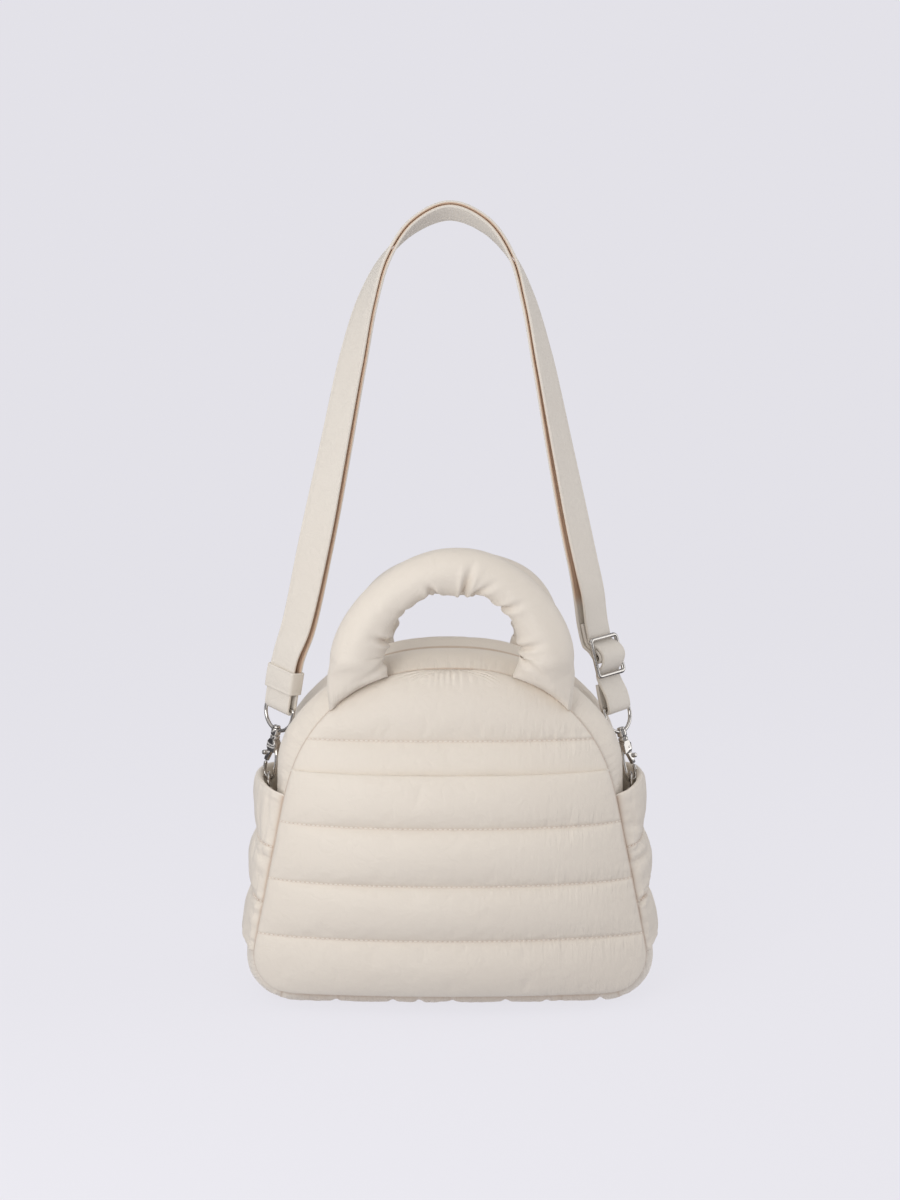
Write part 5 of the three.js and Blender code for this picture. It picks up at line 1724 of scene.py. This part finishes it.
def make_hook(name, place):
    bm = bmesh.new()
    collar_top = BOSS["low"] - GAP
    collar_low = collar_top - SHANK["collar"]
    collar = BOSS["radius"]
    head_low = BOSS["top"] + GAP
    head_top = STEM["head_top"]
    shank, stem, head = SHANK["radius"], STEM["radius"], STEM["head"]
    profile = [
        (0, SHANK["low"]),
        (shank, SHANK["low"]),
        (shank, collar_low - SHANK["neck"]),
        (collar - 0.4, collar_low + 0.1),
        (collar, collar_low + 0.6),
        (collar, collar_top - 0.5),
        (collar - 0.5, collar_top),
        (stem, collar_top),
        (stem, head_low),
        (head, head_low),
        (head, head_top - 0.9),
        (head * 0.85, head_top - 0.35),
        (head * 0.5, head_top - 0.05),
        (0, head_top),
    ]
    add_turned(bm, profile)
    shoulder = CHEEK["top"] - CHEEK["cut"]
    half, top_half, low, top = CHEEK["half"], CHEEK["top_half"], CHEEK["low"], CHEEK["top"]
    cheek = [
        (-half, shoulder),
        (-top_half, top),
        (top_half, top),
        (half, shoulder),
        (half, low),
        (-top_half, low),
        (-half, low + CHEEK["cut"]),
    ]
    add_plate(bm, cheek, -CHEEK["far"], -CHEEK["near"], 0.35)
    add_plate(bm, cheek, CHEEK["near"], CHEEK["far"], 0.35)
    web = [(WEB_NEAR, top), (half, shoulder), (half, low), (WEB_NEAR, low)]
    add_plate(bm, web, -CHEEK["far"] + 0.1, CHEEK["far"] - 0.1, 0.3)
    crown = [(-top_half, CROWN_LOW), (-top_half, top), (top_half, top), (top_half, CROWN_LOW)]
    add_plate(bm, crown, -CHEEK["far"] + 0.1, CHEEK["far"] - 0.1, 0.3)
    add_cross_rod(bm, PIVOT["pin"], CHEEK["far"] + 0.3, PIVOT["x"], PIVOT["z"], 0.35)
    claw = along_route(CLAW_LINE, 0.8)[0]
    add_wire(bm, claw, CLAW_WIRE)
    place_metal("hook_%s_claw" % name, bm, place, "hook_" + name)


def make_lever(name, place):
    bm = bmesh.new()
    tip_angle = math.asin(LEVER["tip"] / LEVER["length"])
    down = -math.pi / 2
    head = arc((0, 0), (LEVER["head"], LEVER["head"]), 0, math.pi, 15)
    tip = arc((0, 0), (LEVER["length"], LEVER["length"]), down - tip_angle, down + tip_angle, 7)
    lean = math.radians(LEVER["lean"])
    across, along = math.cos(lean), math.sin(lean)
    turned_points = [
        (PIVOT["x"] + x * across + z * along, PIVOT["z"] - x * along + z * across) for x, z in head + tip
    ]
    add_plate(bm, turned_points, -LEVER["half"], LEVER["half"], 0.3)
    add_cross_rod(bm, KNOB["radius"], KNOB["half"], KNOB["x"], KNOB["z"], 0.9)
    place_metal("hook_lever_%s_arm" % name, bm, place, "hook_lever_" + name, name + "_lever")


def make_ring(name, side):
    bm = bmesh.new()
    radius, wide, high = RING["radius"], RING["corner_wide"], RING["corner_high"]
    arch = arc((0, -1), (radius, radius + 1), 0, math.pi, 33)
    corner = [(-radius, -3), (GAP - radius, high - radius - 0.3), (wide - radius, -radius)]
    foot = along_route([(-radius, -1), *corner, (0, -radius)], 0.6)[0]
    left = [tuple(p) for p in foot[1:]]
    right = [(-x, z) for x, z in left[-2::-1]]
    add_wire(bm, arch + left + right, RING["wire"], closed=True)
    seat = Matrix.Translation((side["sign"] * RING["x"], 0, RING["z"]))
    place = seat @ Matrix.Rotation(math.pi / 2, 4, "Z")
    place_metal("ring_%s_wire" % name, bm, place, "ring_" + name)


def make_slider():
    bm = bmesh.new()
    half = STRAP["wide"] / 2 + SLIDER["wire"] + 2 * GAP
    add_wire(bm, rounded_box(half, SLIDER["half"], SLIDER["corner"], 9), SLIDER["frame"], closed=True)
    add_wire(bm, [(x, 0) for x in np.linspace(-half, half, 5)], SLIDER["wire"] * 0.9)
    place = on_strap(SPINE_LENGTH - SLIDER["from_eye"], SLIDER["above"], -1)
    place_metal("strap_slider_frame", bm, place, "strap_slider")


for side_name, side in SIDES.items():
    strap_end_at = 0 if side["sign"] < 0 else SPINE_LENGTH
    hangs = on_strap(strap_end_at, 0, -side["sign"]) @ Matrix.Rotation(math.pi, 4, "Z")
    make_hook_eye(side_name, hangs)
    make_hook(side_name, hangs)
    make_lever(side_name, hangs)
    make_ring(side_name, side)
make_slider()


# Camera at the photograph's angle
CAMERA = {"place": (0, -1.3896, 0.4426), "aim": (0, 0, 0.272), "lens": 60.87, "sensor": 36}


# Turn of a camera or lamp from its place towards a point
def aimed(place, point):
    return (Vector(point) - Vector(place)).to_track_quat("-Z", "Y").to_euler()


def make_camera():
    lens = bpy.data.cameras.new("camera")
    lens.sensor_fit = "VERTICAL"
    lens.sensor_height = CAMERA["sensor"]
    lens.lens = CAMERA["lens"]
    camera = bpy.data.objects.new("camera", lens)
    camera.location = CAMERA["place"]
    camera.rotation_euler = aimed(CAMERA["place"], CAMERA["aim"])
    bpy.context.scene.collection.objects.link(camera)
    bpy.context.scene.camera = camera
    bpy.context.scene.view_settings.view_transform = "Standard"


# Pale floor that curves up into a round backdrop, in metres, and its tones to the eye, cloth and metal
FLOOR = {"flat": 2.4, "curve": 1.2, "top": 3.2}
FLOOR_TONE = (0.13, 0.1285, 0.1365, 1)
FLOOR_GLOW = {
    "seen": (0.70, 0.692, 0.736, 1),
    "on_cloth": (0.46, 0.456, 0.478, 1),
    "panels": (0.85, 0.845, 0.86, 1),
    "flags": (0.008, 0.008, 0.008, 1),
}
FLAGS = {"scale": 0.24, "from": 0.24}


def floor_finish():
    material, tree, shader = new_finish("pale_floor")
    shader.inputs["Base Color"].default_value = FLOOR_TONE
    shader.inputs["Roughness"].default_value = 0.9
    shader.inputs["Specular IOR Level"].default_value = 0.0
    shader.inputs["Emission Strength"].default_value = 1.0
    rays = tree.nodes.new("ShaderNodeLightPath")
    flags = tree.nodes.new("ShaderNodeTexWave")
    flags.bands_direction = "X"
    flags.inputs["Scale"].default_value = FLAGS["scale"]
    tree.links.new(object_place(tree), flags.inputs["Vector"])
    dark = math_node(tree, "GREATER_THAN", flags.outputs["Fac"], FLAGS["from"])
    in_metal = tone_between(tree, dark, FLOOR_GLOW["panels"], FLOOR_GLOW["flags"])
    unseen = tone_between(tree, rays.outputs["Is Glossy Ray"], FLOOR_GLOW["on_cloth"], in_metal)
    glow = tone_between(tree, rays.outputs["Is Camera Ray"], unseen, FLOOR_GLOW["seen"])
    tree.links.new(glow, shader.inputs["Emission Color"])
    return material


def make_backdrop():
    bm = bmesh.new()
    flat, curve = FLOOR["flat"], FLOOR["curve"]
    bend = arc((flat, curve), (curve, curve), -math.pi / 2, 0, 10)[1:]
    profile = [(0.0, 0.0), (flat / 3, 0.0), (flat, 0.0), *bend, (flat + curve, FLOOR["top"])]
    spin_profile(bm, profile, 64, 1e-5)
    floor = finished("floor", bm)
    floor.data.flip_normals()
    floor.data.materials.append(floor_finish())


# Soft lamps: name, place, height of the aim, size and energy
LAMP_TONE = (1, 0.993, 0.975)
LAMPS = [
    ("key_light", (-0.38, -0.88, 0.47), 0.17, 0.5, 3.6),
    ("left_light", (-0.8, -0.4, 0.45), 0.17, 0.7, 0.8),
    ("right_light", (1.2, 0.12, 0.55), 0.2, 0.9, 3.6),
    ("top_light", (-0.2, -0.3, 1.8), 0.1, 1.6, 4.5),
]
STUDIO = {"tone": (0.80, 0.79, 0.80, 1), "strength": 0.55}


def make_lights():
    for name, place, aim_height, size, energy in LAMPS:
        lamp = bpy.data.objects.new(name, bpy.data.lights.new(name, "AREA"))
        lamp.data.size = size
        lamp.data.energy = energy
        lamp.data.color = LAMP_TONE
        lamp.location = place
        lamp.rotation_euler = aimed(place, (0, 0, aim_height))
        lamp.visible_camera = False
        bpy.context.scene.collection.objects.link(lamp)
    world = bpy.data.worlds.new("studio")
    world.use_nodes = True
    background = world.node_tree.nodes["Background"]
    background.inputs["Color"].default_value = STUDIO["tone"]
    background.inputs["Strength"].default_value = STUDIO["strength"]
    bpy.context.scene.world = world


make_camera()
make_backdrop()
make_lights()
